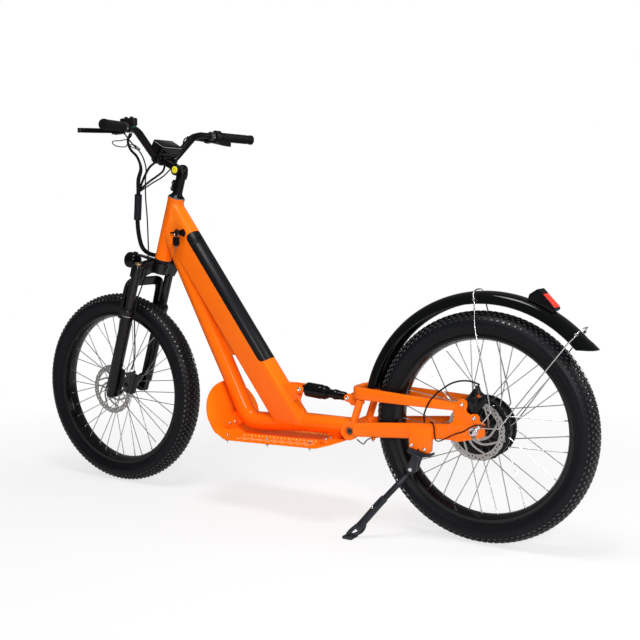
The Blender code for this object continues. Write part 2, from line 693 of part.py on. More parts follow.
def handlebar():
    half = eased(BAR_HALF, [0, 0, 60, 60, 0, 0, 0], 3)
    path = [(x, -y, z) for x, y, z in reversed(half)][:-1] + half
    widths = []
    for x, y, z in path:
        reach = min(1.0, max(0.0, (abs(y) - 60) / 130))
        widths.append(BAR_RADIUS + (GRIP_BAR_RADIUS - BAR_RADIUS) * reach)
    node("handlebar", sweep("bar", path, widths, 14), BLACK_METAL)


def grip(name, side):
    profile = [(GRIP_BAR_RADIUS + GAP, 2), (17.8, 2), (17.8, 7), (16.2, 9), (16.2, 128),
               (17.8, 131), (17.8, 142), (0, 142), (0, 139), (GRIP_BAR_RADIUS + GAP, 139)]
    start = flip(along_bar(6), side)
    end = flip(along_bar(100), side)
    line = Vector(end) - Vector(start)
    node(name, turned("grip", profile, start, line, 16), GRIP_RUBBER)


def ring_on_bar(name, side, low, high, outer):
    a = flip(along_bar(low), side)
    b = flip(along_bar(high), side)
    return rod(name, a, b, outer, 16)


def bar_bore(side):
    a = flip(along_bar(-60), side)
    b = flip(along_bar(30), side)
    return rod("bar_bore", a, b, GRIP_BAR_RADIUS + 0.9, 16)


def lever_pivot(side):
    return (492.0, side * 246.0, 1263.0)


def brake_perch(name, side, low, high):
    """Clamp on the bar with a fork for the lever."""
    ring = ring_on_bar("perch_ring", side, low, high, 16.5)
    middle = flip(along_bar((low + high) / 2), side)
    pivot = lever_pivot(side)
    arm = slab("perch_arm", [(middle[0], middle[1] - 8), (pivot[0] - 4, pivot[1] - 15),
                             (pivot[0] + 12, pivot[1] - 12), (pivot[0] + 12, pivot[1] + 12),
                             (pivot[0] - 4, pivot[1] + 15), (middle[0], middle[1] + 8)],
               1253, 1275, "XY", soften=2)
    inward = Vector((530, side * 172, 1270))
    barrel = sweep("perch_barrel", [(pivot[0] + 6, pivot[1] - side * 6, 1266), tuple(inward)],
                   [9.5, 6.5], 12)
    slot = block("lever_slot", (pivot[0] + 12, pivot[1] + side * 14, 1263), (58, 54, 12.6))
    pin = rod("pin_bore", (pivot[0], pivot[1], 1240), (pivot[0], pivot[1], 1290), 3.3, 8)
    inner_room = ring_on_bar("inner_room", side, low - 60, low + 0.4, 30)
    outer_room = ring_on_bar("outer_room", side, high - 0.4, high + 60, 30)
    fuse(ring, arm, barrel)
    node(name, cut(ring, slot, pin, bar_bore(side), inner_room, outer_room), BLACK_METAL)


def brake_lever(name, side):
    pivot = lever_pivot(side)
    outline = [(-7, -6), (8, -8), (12, 4), (9, 20), (8, 44), (14, 90), (20, 140), (19, 152),
               (12, 156), (7, 150), (4, 138), (-2, 90), (-8, 44), (-8, 20)]
    spots = [(pivot[0] + x, pivot[1] + side * y) for x, y in outline]
    blade = slab("blade", spots, 1257, 1269, "XY", soften=2)
    pin = rod("pin", (pivot[0], pivot[1], 1251), (pivot[0], pivot[1], 1278), 3.0, 8)
    tip = rod("tip", (pivot[0] + 14, pivot[1] + side * 150, 1256),
              (pivot[0] + 14, pivot[1] + side * 150, 1270.5), 8, 12)
    node(name, fuse(blade, pin, tip), BLACK_METAL)


def switch_pod():
    ring = ring_on_bar("pod_ring", 1, -49, -28, 17)
    box = block("pod_box", (455, 224, 1293), (62, 22, 26), soften=4)
    fuse(ring, box)
    wells = []
    for x in (442, 466):
        wells.append(rod("well", (x, 224, 1300), (x, 224, 1320), 6.4, 12))
    node("switch_pod", cut(ring, joined("wells", wells), bar_bore(1)), BLACK_PLASTIC)
    for name, x in (("horn_button", 442), ("light_button", 466)):
        profile = [(0, 1302.3), (6, 1302.3), (6, 1309), (4.6, 1310.6), (0, 1311)]
        node(name, turned(name, profile, (x, 224, 0), sides=12), GLOSS_BLACK)


def throttle():
    ring = ring_on_bar("throttle_ring", -1, -20, 1.5, 23)
    core = ring_on_bar("throttle_groove", -1, -13.4, -3.4, 26)
    inner = ring_on_bar("throttle_core", -1, -13.5, -3.3, 17)
    cut(core, inner)
    cut(ring, core)
    node("throttle_housing", cut(ring, bar_bore(-1)), BLACK_PLASTIC)
    ring_two = ring_on_bar("paddle_ring", -1, -13.0, -3.8, 22)
    hollow = ring_on_bar("paddle_hollow", -1, -30, 20, 17.4)
    middle = Vector(flip(along_bar(-8.4), -1))
    back = Vector((-0.943, 0.333, 0.0))
    down = Vector((0.012, 0.033, -0.999))
    tongue = sweep("tongue", [tuple(middle + back * a + down * b) for a, b in
                              ((12, 14), (22, 19), (36, 27))], [3.2, 3.2, 4.0], 8)
    pad = block("pad", tuple(middle + back * 36 + down * 29 + Vector((0, -6, 0))), (20, 24, 7),
                soften=2, slope=-30)
    node("throttle_paddle", fuse(cut(ring_two, hollow), tongue, pad), BLACK_PLASTIC)


def display():
    body = block("case", (0, 0, -15.5), (53.7, 100, 30), DISPLAY, soften=4)
    recess = block("screen_recess", (2, 0, 0), (40, 74, 6), DISPLAY, soften=1)
    arms = []
    rings = []
    for side in (-1, 1):
        y = side * 44
        strap = slab("strap", [(481, 1221), (494, 1214), (506, 1190), (506, 1176), (486, 1170),
                               (480, 1186), (474, 1208)], min(y - 5, y + 5), max(y - 5, y + 5))
        arms.append(strap)
        rings.append(rod("strap_ring", (494.6, side * 38.5, 1181), (492, side * 50, 1186), 17.5, 16))
    half = eased(BAR_HALF, [0, 0, 60, 60, 0, 0, 0], 3)
    path = [(x, -y, z) for x, y, z in reversed(half)][:-1] + half
    bar = sweep("bar_for_display", path, BAR_RADIUS + 0.5, 16)
    fuse(body, joined("straps", arms), joined("strap_rings", rings))
    cut(body, recess, bar)
    node("display_body", body, GLOSS_BLACK)
    screen = block("screen", (2, 0, -1.2), (39, 73, 3.4), DISPLAY, soften=0.8)
    node("display_screen", screen, SCREEN_GLASS)


def fork_lowers():
    legs = []
    profile = [(0, -14), (12, -14), (15.5, -10), (15.5, 16), (LOWER_RADIUS, 28),
               (LOWER_RADIUS, 310), (23, 311), (23, 323), (STANCHION_RADIUS + 0.5, 323),
               (STANCHION_RADIUS + 0.5, 48), (0, 48)]
    for side in (-1, 1):
        legs.append(turned("leg", profile, (LEG_FORWARD, side * LEG_HALF_SPACING, 0), sides=16))
    leg = LEG_HALF_SPACING
    arch = eased([(-leg - 10, 282), (-leg - 10, 433), (leg + 10, 433), (leg + 10, 282),
                  (leg - 15, 282), (leg - 21, 402), (21 - leg, 402), (15 - leg, 282)],
                 [0, 45, 45, 0, 0, 26, 26, 0], 4, True)
    bridge = slab("lower_arch", arch, ARCH_BACK, ARCH_BACK + 13.5, "YZ", STEERING)
    feet = []
    drops = []
    for side in (-1, 1):
        near, far = sorted((side * (leg - 9.7), side * (leg + 7.1)))
        feet.append(slab("foot", [(47.2, 290.6), (60, 286.4), (60, 318.6), (47.2, 306.2)], near, far))
        near, far = sorted((side * DROPOUT_INNER, side * DROPOUT_OUTER))
        outline = eased([(12, -10), (12, 50), (44, 52), (66, 22), (72, 6), (72, -8), (60, -16),
                         (28, -16)], 5, 1, True)
        drops.append(slab("dropout", outline, near, far))
    mount = slab("caliper_mount", [(2, 14), (16, 14), (16, 100), (2, 96)], 72, leg - 7,
                 "XZ", STEERING)
    axle = rod("axle_slot", (FORK_OFFSET, -100, 0), (FORK_OFFSET, 100, 0), 5.4, 12,
               parent=STEERING)
    mouth = block("axle_mouth", (FORK_OFFSET, 0, -20), (10.4, 200, 40), STEERING)
    lowers = joined("legs", legs, STEERING)
    fuse(lowers, bridge, joined("feet", feet, STEERING), joined("drops", drops, STEERING), mount)
    node("fork_lowers", cut(lowers, axle, mouth), BLACK_PAINT)


def axle_with_nuts(name, x, z, radius, outer, parent):
    """Axle with nuts outside the dropouts and cones between them and the hub."""
    reach = max(outer + 12.7, 93.0)
    inner = HUB_HALF_WIDTH + 6
    shaft = rod("axle", (x, -reach, z), (x, reach, z), radius, 12)
    things = []
    for side in (-1, 1):
        things.append(rod("nut", (x, side * outer, z), (x, side * (outer + 9), z), radius * 1.9, 6))
        things.append(rod("cone", (x, side * (inner - 5.5), z), (x, side * inner, z),
                          radius * 1.6, 8))
    fuse(shaft, *things)
    shaft.parent = parent
    for thing in things:
        thing.parent = parent
    node(name, shaft, SILVER)


def front_caliper():
    body = block("caliper", (-24, 58, 56), (42, 30, 74), STEERING, soften=5)
    cap = rod("caliper_piston", (-22, 72, 52), (-22, 79, 52), 15, 14, parent=STEERING)
    back = rod("caliper_back", (-22, 46, 52), (-22, 38, 52), 15, 14, parent=STEERING)
    foot = slab("caliper_foot", [(-30, 22), (1.6, 22), (1.6, 92), (-30, 92)], 72.4, 80, "XZ",
                STEERING, soften=1.5)
    arm = block("caliper_arm", (-34, 70, 98), (10, 10, 26), STEERING, soften=2, slope=-20)
    rotor = rod("rotor_gap", (FORK_OFFSET, ROTOR_Y - 1.4, 0), (FORK_OFFSET, ROTOR_Y + 3.2, 0),
                ROTOR_RADIUS + 3, 36, parent=STEERING)
    fuse(body, cap, back, foot, arm)
    node("front_caliper", cut(body, rotor), BLACK_METAL)


# Wheels


def tyre(name, x):
    w = TYRE_HALF_WIDTH
    r = WHEEL_RADIUS
    tread = r / math.cos(math.pi / WHEEL_SIDES)
    half = [(tread, 0.4 * w), (r - 4, 0.7 * w), (r - 13, 0.92 * w), (r - 34, w),
            (r - TYRE_DEPTH + 13, 0.62 * w), (r - TYRE_DEPTH + 9, 24.4), (r - TYRE_DEPTH, 19.4)]
    outline = half + [(a, -b) for a, b in reversed(half)]
    body = turned("tyre", outline, (x, 0, AXLE_HEIGHT), (0, 1, 0), WHEEL_SIDES, phase=0.5)
    node(name, body, TYRE_RUBBER)


def rim(name, x):
    w = RIM_HALF_WIDTH
    r = RIM_INNER_RADIUS
    half = [(r, 12), (r + 6, w), (r + 19, w), (r + 8, w - 6)]
    outline = half + [(a, -b) for a, b in reversed(half)]
    body = turned("rim", outline, (x, 0, AXLE_HEIGHT), (0, 1, 0), WHEEL_SIDES, phase=0.5)
    node(name, body, BLACK_PAINT)


def spoke_set(x, flange_radius, flanges, lean):
    """Straight spokes from two hub flanges to the rim, crossing in pairs."""
    spokes = []
    per_side = SPOKES // 2
    for side, y in ((-1, flanges[0]), (1, flanges[1])):
        for k in range(per_side):
            shift = 0.5 if side > 0 else 0.0
            hole = 2 * math.pi * (k + shift) / per_side
            turn = lean if k % 2 else -lean
            out = 2 * math.pi * (k + shift + (turn * per_side / (2 * math.pi))) / per_side
            layer = 2.1 if k % 2 else -2.1
            start = (x + flange_radius * math.cos(hole), y + layer,
                     AXLE_HEIGHT + flange_radius * math.sin(hole))
            reach = RIM_INNER_RADIUS - 1.25
            end = (x + reach * math.cos(out), side * 5 + layer * 0.4,
                   AXLE_HEIGHT + reach * math.sin(out))
            spokes.append(rod("spoke", start, end, 1.25, 3))
    return joined("spokes", spokes)


def front_hub():
    profile = [(5.4, -61.5), (10, -61.5), (15, -38), (30, -37.5), (30, -31.5), (16, -27),
               (16, 24), (30, 27.5), (30, 33.5), (24, 38), (24, 54.7), (16.8, 54.7), (16.8, 58),
               (11, 61.5), (5.4, 61.5)]
    hub = turned("hub", profile, (FRONT_AXLE_X, 0, AXLE_HEIGHT), (0, 1, 0), 16)
    fuse(hub, spoke_set(FRONT_AXLE_X, 26.5, (-34.5, 30.5), math.radians(52)))
    node("front_hub", hub, BLACK_METAL)


def rear_hub():
    profile = [(7.4, -61.5), (22, -61.5), (58, -46), (98, -31), (107, -30), (107, -24),
               (99, -23), (99, 19), (107, 20), (107, 26), (84, 33), (28, 40), (27, 54.7),
               (19.6, 54.7), (19.6, 58), (12, 61.5), (7.4, 61.5)]
    hub = turned("motor", profile, (REAR_AXLE_X, 0, AXLE_HEIGHT), (0, 1, 0), 22)
    fuse(hub, spoke_set(REAR_AXLE_X, 103.5, (-27, 23), math.radians(15)))
    node("hub_motor", hub, BLACK_METAL)


def rotor(name, x, hole_radius):
    """Brake disc with six leaning windows."""
    y = ROTOR_Y
    disc = rod("disc", (x, y, AXLE_HEIGHT), (x, y + 1.8, AXLE_HEIGHT), ROTOR_RADIUS, 32)
    windows = []
    for k in range(6):
        turn = 60 * k
        outer = arc((0, 0), 70, turn + 4, turn + 50, 4)
        inner = arc((0, 0), 33, turn + 22, turn - 18, 3)
        spots = [(x + a, AXLE_HEIGHT + b) for a, b in outer + inner]
        windows.append(slab("window", spots, y - 5, y + 5))
    middle = rod("middle", (x, y - 5, AXLE_HEIGHT), (x, y + 5, AXLE_HEIGHT), hole_radius, 12)
    node(name, cut(disc, joined("windows", windows), middle), ROTOR_STEEL)


# Rear end


def beam_rings(stations):
    """Rings of a rounded bar in side view: x, z middle, height, y inner, y outer."""
    rings = []
    for x, z, height, inner, outer in stations:
        h = height / 2
        c = min(8.0, (outer - inner) * 0.35)
        ring = [(inner + c, z - h), (outer - c, z - h), (outer - 0.3 * c, z - h + 0.3 * c),
                (outer, z - h + c), (outer, z + h - c), (outer - 0.3 * c, z + h - 0.3 * c),
                (outer - c, z + h), (inner + c, z + h), (inner + 0.3 * c, z + h - 0.3 * c),
                (inner, z + h - c), (inner, z - h + c), (inner + 0.3 * c, z - h + 0.3 * c)]
        rings.append([(x, y, zz) for y, zz in ring])
    return rings


def swingarm_side(name, side):
    stations = [(-309, 308.5, 43, 47.5, 70), (-400, 318, 46, 48.5, 71.5),
                (-560, 333, 48, 50.5, 74), (-612, 337.3, 48, 51.2, 74.5),
                (-625, 338.3, 48, 60, 74.7), (-662, 341, 48, 60, 75)]
    rings = [[(x, side * y, z) for x, y, z in ring] for ring in beam_rings(stations)]
    stay = loft("stay", rings)
    ends = sorted((side * 39.2, side * 61))
    boss = rod("boss", (PIVOT[0], ends[0], PIVOT[2]), (PIVOT[0], ends[1], PIVOT[2]), 28.8, 24)
    strut = rod("strut", (-298, side * 51, 318), (-327, side * 53, 404.5), 12, 14)
    near, far = sorted((side * 67.8, side * 75.4))
    if side > 0:
        outline = [(-640, 407), (-652, 407), (-655, 392), (-652, 374), (-640, 364), (-640, 320),
                   (-668, 313.5), (-700, 322), (-744, 334), (-752, 342), (-752, 370),
                   (-747, 378), (-736, 381), (-735, 394), (-728, 402), (-715, 402),
                   (-706, 399), (-697, 404), (-694, 412), (-697, 424), (-696, 437),
                   (-684, 444), (-672, 441), (-664, 434), (-640, 431)]
    else:
        outline = [(-640, 407), (-652, 407), (-655, 392), (-652, 374), (-640, 364), (-640, 320),
                   (-668, 313.5), (-700, 322), (-744, 334), (-752, 342), (-752, 370),
                   (-740, 384), (-700, 404), (-680, 424), (-664, 431), (-640, 431)]
    plate = slab("dropout_plate", outline, near, far)
    tools = [boss, strut, plate]
    if side > 0:
        stand = slab("stand_plate", eased([(-512, 345), (-512, 284), (-520, 276), (-576, 265),
                                           (-588, 272), (-590, 345)], [0, 3, 3, 3, 3, 0], 2, True),
                     70, 82, soften=1.5)
        tools.append(stand)
        tools.append(rod("cable_guide", (-378, 62, 302), (-378, 62, 284), 6, 12))
    fuse(stay, *tools)
    bore = rod("boss_bore", (PIVOT[0], side * 30, PIVOT[2]), (PIVOT[0], side * 80, PIVOT[2]), 12.6,
               20)
    slot = rod("axle_slot", (REAR_AXLE_X, side * 60, AXLE_HEIGHT),
               (REAR_AXLE_X, side * 90, AXLE_HEIGHT), 7.4, 12)
    mouth = block("axle_mouth", (REAR_AXLE_X, side * 72, AXLE_HEIGHT - 30), (14.2, 30, 60))
    loop_top = slab("loop_top", loop_side_outline(GAP), *sorted((side * 40, side * 90)))
    node(name, cut(stay, bore, slot, mouth, loop_top), ORANGE)


def loop_side_outline(grow):
    """Side view of the upper loop: level underside, falling top."""
    return [(-270, 405.5 - grow), (-661, 406 - grow), (-661 - grow, 406 - grow),
            (-661 - grow, 430 + grow), (-270, 447 + grow)]


def swingarm_loop():
    outer = eased([(-700, 77.4), (-520, 75.5), (-290.5, 62), (-290.5, -62), (-520, -75.5),
                   (-700, -77.4)], [0, 0, 46, 46, 0, 0], 6)
    inner = eased([(-700, -57.4), (-520, -55.5), (-310.5, -43), (-310.5, 43), (-520, 55.5),
                   (-700, 57.4)], [0, 0, 28, 28, 0, 0], 6)
    band = slab("band", outer + inner, 380, 470, "XY")
    side = slab("band_side", loop_side_outline(0.0), -120, 120, soften=5)
    step = band.modifiers.new("side", "BOOLEAN")
    step.operation = "INTERSECT"
    step.solver = "EXACT"
    step.object = side
    eye = (SHOCK_REAR_EYE[0], SHOCK_REAR_EYE[2])
    outline = arc(eye, 12.5, 70, 250, 7) + [(-276, 377), (-300, 378), (-300, 416), (-270, 414)]
    ears = []
    for y in (-19, 19):
        ears.append(slab("rear_ear", outline, y - 2.7, y + 2.7))
    ear = joined("rear_ears", ears)
    foot = block("ear_foot", (-298, 0, 400), (8, 43.4, 44), soften=2)
    cut(ear, rod("eye_bore", (eye[0], -40, eye[1]), (eye[0], 40, eye[1]), 5.7, 16))
    x, z = on_fender(FENDER_START, 0)
    end = x + 5.2
    tab = block("fender_tab", ((end - 309) / 2, 0, z - 6.7), (-309 - end, 22, 5))
    node("swingarm_loop", fuse(band, foot, ear, tab), ORANGE)


def rear_caliper():
    body = block("rear_brake", (-716, 55.2, 436), (54, 24.4, 66), soften=5, slope=-38)
    piston = rod("rear_piston", (-717, 60, 439), (-717, 78, 439), 15, 14)
    back = rod("rear_back", (-717, 46, 439), (-717, 38, 439), 15, 14)
    feet = []
    for x, z in ((-683, 428), (-721, 391)):
        feet.append(rod("rear_foot", (x, 58, z), (x, 67.4, z), 11, 12))
    arm = block("rear_arm", (-728, 66, 474), (12, 10, 26), soften=2, slope=20)
    disc = rod("rear_gap", (REAR_AXLE_X, ROTOR_Y - 1.4, AXLE_HEIGHT),
               (REAR_AXLE_X, ROTOR_Y + 3.2, AXLE_HEIGHT), ROTOR_RADIUS + 3, 36)
    fuse(body, piston, back, *feet, arm)
    node("rear_caliper", cut(body, disc), BLACK_METAL)


def on_fender(angle, rise):
    """Point in side view at an angle about the fender's centre, rise above its crown."""
    turn = math.radians(angle)
    reach = FENDER_RADIUS + rise
    return (FENDER_CENTRE[0] + reach * math.cos(turn), FENDER_CENTRE[2] + reach * math.sin(turn))


def fender_ring(angle, lift=0.0):
    """One cross-section of the fender shell at an angle about its centre."""
    r = FENDER_RADIUS
    outer = [(r - 36, 38.5), (r - 18, 37.5), (r - 5, 26), (r, 9)]
    outer = outer + [(a, -b) for a, b in reversed(outer)]
    inner = [(r - 36, -36), (r - 19.2, -35), (r - 7.5, -24.5), (r - 2.6, -8.4)]
    inner = inner + [(a, -b) for a, b in reversed(inner)]
    c = math.cos(math.radians(angle))
    s = math.sin(math.radians(angle))
    spots = []
    for radius, y in outer + inner:
        spots.append((FENDER_CENTRE[0] + (radius + lift) * c, y,
                      FENDER_CENTRE[2] + (radius + lift) * s))
    return spots


def fender():
    rings = []
    for k in range(18):
        angle = FENDER_START + (136 - FENDER_START) * k / 17
        rings.append(fender_ring(angle))
    last = fender_ring(138.5, 3)
    flap = []
    for spot in last:
        along = Vector((-0.72, 0, -0.69)) * 34
        flap.append((spot[0] + along[0], spot[1] * 1.04, spot[2] + along[2]))
    rings.append(last)
    rings.append(flap)
    shell = loft("shell", rings)
    x, z = on_fender(FENDER_START, 0)
    tab = block("shell_tab", (x + 0.7, 0, z - 0.7), (9, 22, 6))
    node("fender", fuse(shell, tab), GLOSS_BLACK)


def fender_stays():
    """Two bent wires that share an eyelet beside each dropout."""
    front = [(-735, 80, 364), (-735, 80, 400)]
    rear = [(-735, 80, 364), (-760, 80, 390)]
    front_arc = [(90.54, -196, 74), (87.44, -118.7, 66), (85.86, -36, 44), (85.41, -9.7, 41.5),
                 (85.4, 1.3, 30), (85.37, 4.9, 12)]
    rear_arc = [(132.1, -186.3, 70), (132.84, -35, 48), (132.86, -11.6, 42.5), (132.37, 5.5,
                36), (132.54, 18.2, 16)]
    for half, bend in ((front, front_arc), (rear, rear_arc)):
        for angle, rise, y in bend:
            x, z = on_fender(angle, rise)
            half.append((x, y, z))
    wires = []
    for half, name in ((front, "front_wire"), (rear, "rear_wire")):
        path = eased(half, 14, 1)
        whole = path + [(x, -y, z) for x, y, z in reversed(path)]
        wires.append(sweep(name, whole, 2.2, 5))
    tools = [wires[1]]
    for side in (-1, 1):
        ends = sorted((side * 75.8, side * 84))
        tools.append(rod("eyelet", (-735, ends[0], 364), (-735, ends[1], 364), 6.5, 12))
    node("fender_stays", fuse(wires[0], *tools), SILVER)


def tail_light():
    shape = [(108.08, 2.4), (108.01, 16.9), (110.48, 41.5), (112.18, 34.9), (119.91, 11.1),
             (119.4, -2.5), (118.27, -19.4)]
    body = slab("tail", [on_fender(*spot) for spot in shape], -24, 24, soften=3)
    skirt = rod("fender_for_tail", (FENDER_CENTRE[0], -40, FENDER_CENTRE[2]),
                (FENDER_CENTRE[0], 40, FENDER_CENTRE[2]), FENDER_RADIUS + 0.4, 120)
    room = [(111.94, 45), (112.58, 26.5), (118.74, 8), (120.3, 22)]
    pocket = slab("lens_pocket", [on_fender(*spot) for spot in room], -20.4, 20.4)
    node("tail_light_body", cut(body, skirt, pocket), BLACK_PLASTIC)
    shape = [(112.86, 32.8), (112.65, 26.7), (118.71, 8.4), (119.46, 14.9)]
    lens = slab("tail_lens", [on_fender(*spot) for spot in shape], -20, 20, soften=1.2)
    node("tail_light_lens", lens, LAMP_RED)


def kickstand_bracket():
    """Cast bracket bolted under the stay, with the fork that the leg turns in."""
    head = slab("stand_head", [(-507, 262), (-512, 274.4), (-577, 263.0), (-589, 268.2),
                               (-590, 258), (-560, 250), (-530, 248)], 70.4, 95, soften=1.5)
    wing = slab("stand_wing", [(-506, 262), (-508, 290), (-516, 300), (-585, 300), (-592, 268),
                               (-560, 250), (-530, 248)], 82.4, 90, soften=1.5)
    bolts = []
    for x, z in ((-522, 290), (-568, 283)):
        bolts.append(rod("stand_bolt", (x, 88, z), (x, 95, z), 5.5, 8))
    neck = slab("stand_neck", [(-515, 262), (-560, 256), (-548, 232), (-541, 210), (-524, 201),
                               (-508, 210), (-507, 230)], 89, 98, soften=1.5)
    inner = slab("stand_inner", [(-515, 262), (-560, 256), (-548, 232), (-541, 210), (-524, 201),
                                 (-508, 210), (-507, 230)], 71, 79, soften=1.5)
    bore = rod("stand_bore", (STAND_PIVOT[0], 60, STAND_PIVOT[2]),
               (STAND_PIVOT[0], 110, STAND_PIVOT[2]), 5.3, 12)
    fuse(head, wing, neck, inner, joined("stand_bolts", bolts))
    node("kickstand_bracket", cut(head, bore), BLACK_METAL)


def kickstand_leg():
    x, z = STAND_PIVOT[0], STAND_PIVOT[2]
    eye = rod("leg_eye", (x, 79.5, z), (x, 88.5, z), 15, 16)
    pin = rod("leg_pin", (x, 69, z), (x, 101, z), 5, 12)
    upper = sweep("leg_upper", [(-519, 84, 210), (-511, 84.2, 199), (-505, 86, 191), (-498, 92, 182),
                                (-486, 106, 167), (-462, 120, 137), (-438, 134, 108)],
                  [4.2, 4.2, 7.5, 9, 9, 9, 9], 10)
    sleeve = sweep("leg_sleeve", [(-452, 126, 125), (-438, 134, 108), (-395, 158, 50),
                                  (-378, 167.5, 28)], [11.5, 12, 12, 11.5], 10)
    loop = []
    for a, b in ((-1, 0), (1, 0)):
        loop.append(sweep("foot_side", flowing([(-400, 155, 57), (-384 + a * 10, 163 + a * 14, 34),
                                                (-372 + a * 12, 170 + a * 18, 17),
                                                (-361 + a * 5, 177 + a * 8, 6.5)], 1), 6.2, 8))
    foot = block("leg_foot", (-360, 177, 5), (34, 44, 10), soften=3)
    fuse(upper, eye, pin, sleeve, *loop, foot)
    node("kickstand_leg", upper, BLACK_METAL)


def shock():
    can = turned("can", [(0, 22), (19, 22), (22.5, 26), (22.5, 76), (21, 79), (21, 92), (19, 98),
                         (14.8, 99), (14.8, 40), (0, 40)], (0, 0, 0), (-1, 0, 0), 14, SHOCK)
    neck = block("can_neck", (-16, 0, 0), (24, 18, 18), SHOCK, soften=2)
    eye = rod("can_eye", (0, -15.3, 0), (0, 15.3, 0), 11, 12, parent=SHOCK)
    pin = rod("can_pin", (0, -25, 0), (0, 25, 0), 5, 8, parent=SHOCK)
    heads = []
    for side in (-1, 1):
        heads.append(rod("pin_head", (0, side * 21.9, 0), (0, side * 26, 0), 8, 8))
    fuse(can, neck, eye, pin, joined("pin_heads", heads, SHOCK))
    node("shock_can", can, GLOSS_BLACK)
    far = -math.hypot(182.0, 13.0)
    shaft = rod("shaft", (-74, 0, 0), (far + 18, 0, 0), 14.2, 14, parent=SHOCK)
    collar = turned("collar", [(0, 122), (17, 122), (17, 130), (14.4, 134), (0, 134)],
                    (0, 0, 0), (-1, 0, 0), 14, SHOCK)
    fork = block("shaft_neck", (far + 14, 0, 0), (22, 18, 18), SHOCK, soften=2)
    rear_eye = rod("shaft_eye", (far, -15.3, 0), (far, 15.3, 0), 10, 12, parent=SHOCK)
    rear_pin = rod("shaft_pin", (far, -24, 0), (far, 24, 0), 4.6, 8, parent=SHOCK)
    ends = []
    for side in (-1, 1):
        ends.append(rod("end_head", (far, side * 22.1, 0), (far, side * 26, 0), 7.5, 8))
    fuse(shaft, collar, fork, rear_eye, rear_pin, joined("end_heads", ends, SHOCK))
    node("shock_shaft", shaft, GLOSS_BLACK)


# Cables


def cable_loom():
    trunk = flowing([(463, 210, 1255), (488, 194, 1234), (497, 172, 1208), (501, 135, 1184),
                     (508, 110, 1147), (534, 95, 1108), (549, 80, 1065), (561, 70, 1019),
                     (574, 60, 971), (580, 48, 917), (577, 34, 872), (568, 8, 849),
                     (545, -28, 838), (511, -51, 824), (476, -61, 790), (430, -62, 752),
                     (388, -58, 726), (366, -48, 714), (362, -32.2, 711)], 2)
    branch = flowing([(473, 58, 1180), (488, 64, 1166), (505, 72, 1149), (523, 84, 1108),
                      (543, 80, 1074)], 2)
    third = flowing([(470, 26, 1165), (474, 34, 1140), (486, 52, 1122), (504, 66, 1106),
                     (530, 78, 1083), (550, 79, 1062)], 2)
    fourth = flowing([(530.6, -170.8, 1270.1), (533, -158, 1262), (520, -126, 1228),
                      (512, -70, 1168), (513, -16, 1126), (524, 36, 1098), (548, 80, 1066)], 2)
    widths = [4.5] * len(trunk)
    for k in range(8, len(trunk)):
        widths[k] = 8.0
    body = sweep("trunk", trunk, widths, 6)
    sleeve = sweep("sleeve", flowing([(550, 79, 1062), (561, 70, 1019), (574, 60, 971)], 1), 13.5,
                   10)
    fuse(body, sleeve, sweep("branch", branch, 4.5, 6), sweep("third", third, 4.0, 6),
         sweep("fourth", fourth, 2.6, 4))
    node("cable_loom", body, CABLE_SKIN)


def front_brake_cable():
    path = flowing([(530.6, 170.8, 1270.1), (533, 159, 1262), (522, 135, 1230), (508, 106, 1196),
                    (501, 92, 1150), (506, 91, 1100), (503, 86, 1040), (492, 86, 985),
                    (490, 84, 918), (500, 80, 850), (526, 80, 777), (540, 84, 736),
                    (548, 100, 691), (548, 116, 640), (548, 118, 590), (560, 106, 500),
                    (592, 82, 452), (606, 73, 433)], 2)
    node("front_brake_cable", sweep("front_cable", path, 2.4, 5), CABLE_SKIN)


def rear_brake_hose():
    path = flowing([(-554, 64, 360.2), (-560, 77, 388), (-580, 86.5, 426), (-603, 89, 453),
                    (-626, 88, 472), (-649, 84, 488), (-675, 78, 497), (-700, 71, 498),
                    (-718, 66, 493.4), (-731.7, 66, 489.1)], 2)
    node("rear_brake_hose", sweep("hose", path, 2.6, 5), CABLE_SKIN)


def motor_cable():
    path = flowing([(-572, 62, 361.4), (-585, 73, 362.6), (-593, 79, 353), (-595, 79.5, 332),
                    (-597, 78.5, 312), (-601, 70, 304), (-610, 69, 306), (-624, 78.5, 317),
                    (-661, 79.5, 337), (-690, 84, 349), (-700, 86, 356), (-728, 87, 372),
                    (-752, 84, 372), (-764, 73, 366), (-760, 65.5, 357), (-746, 64.7, 351.5),
                    (-729.9, 64.7, 350)], 1)
    node("motor_cable", sweep("motor_wire", path, 1.9, 5), CABLE_SKIN)


head_tube()
down_tube()
spine_tube()
deck_plate()
headset_cup()
lock_cylinder()
key()
swing_axle()
battery_case()
fork_crown()
stanchion("stanchion_left", 1)
stanchion("stanchion_right", -1)
headlight()
stem_post()
hinge_bolt()
stem_arm()
keep_on(CHASSIS)
handlebar()
grip("grip_left", 1)
grip("grip_right", -1)
brake_perch("brake_perch_left", 1, -22, -4)
brake_perch("brake_perch_right", -1, -42, -24)
brake_lever("brake_lever_left", 1)
brake_lever("brake_lever_right", -1)
switch_pod()
throttle()
display()
keep_on(BARS)
fork_lowers()
front_caliper()
axle_with_nuts("front_axle", FORK_OFFSET, 0, 5.0, DROPOUT_OUTER + GAP, STEERING)
tyre("front_tyre", FRONT_AXLE_X)
rim("front_rim", FRONT_AXLE_X)
front_hub()
rotor("front_rotor", FRONT_AXLE_X, 18)
swingarm_side("swingarm_left", 1)
swingarm_side("swingarm_right", -1)
swingarm_loop()
axle_with_nuts("rear_axle", REAR_AXLE_X, AXLE_HEIGHT, 7.0, 75.7, CHASSIS)
rear_caliper()
tyre("rear_tyre", REAR_AXLE_X)
rim("rear_rim", REAR_AXLE_X)
rear_hub()
rotor("rear_rotor", REAR_AXLE_X, 21)
fender()
fender_stays()
tail_light()
kickstand_bracket()
kickstand_leg()
shock()
cable_loom()
front_brake_cable()
rear_brake_hose()
motor_cable()
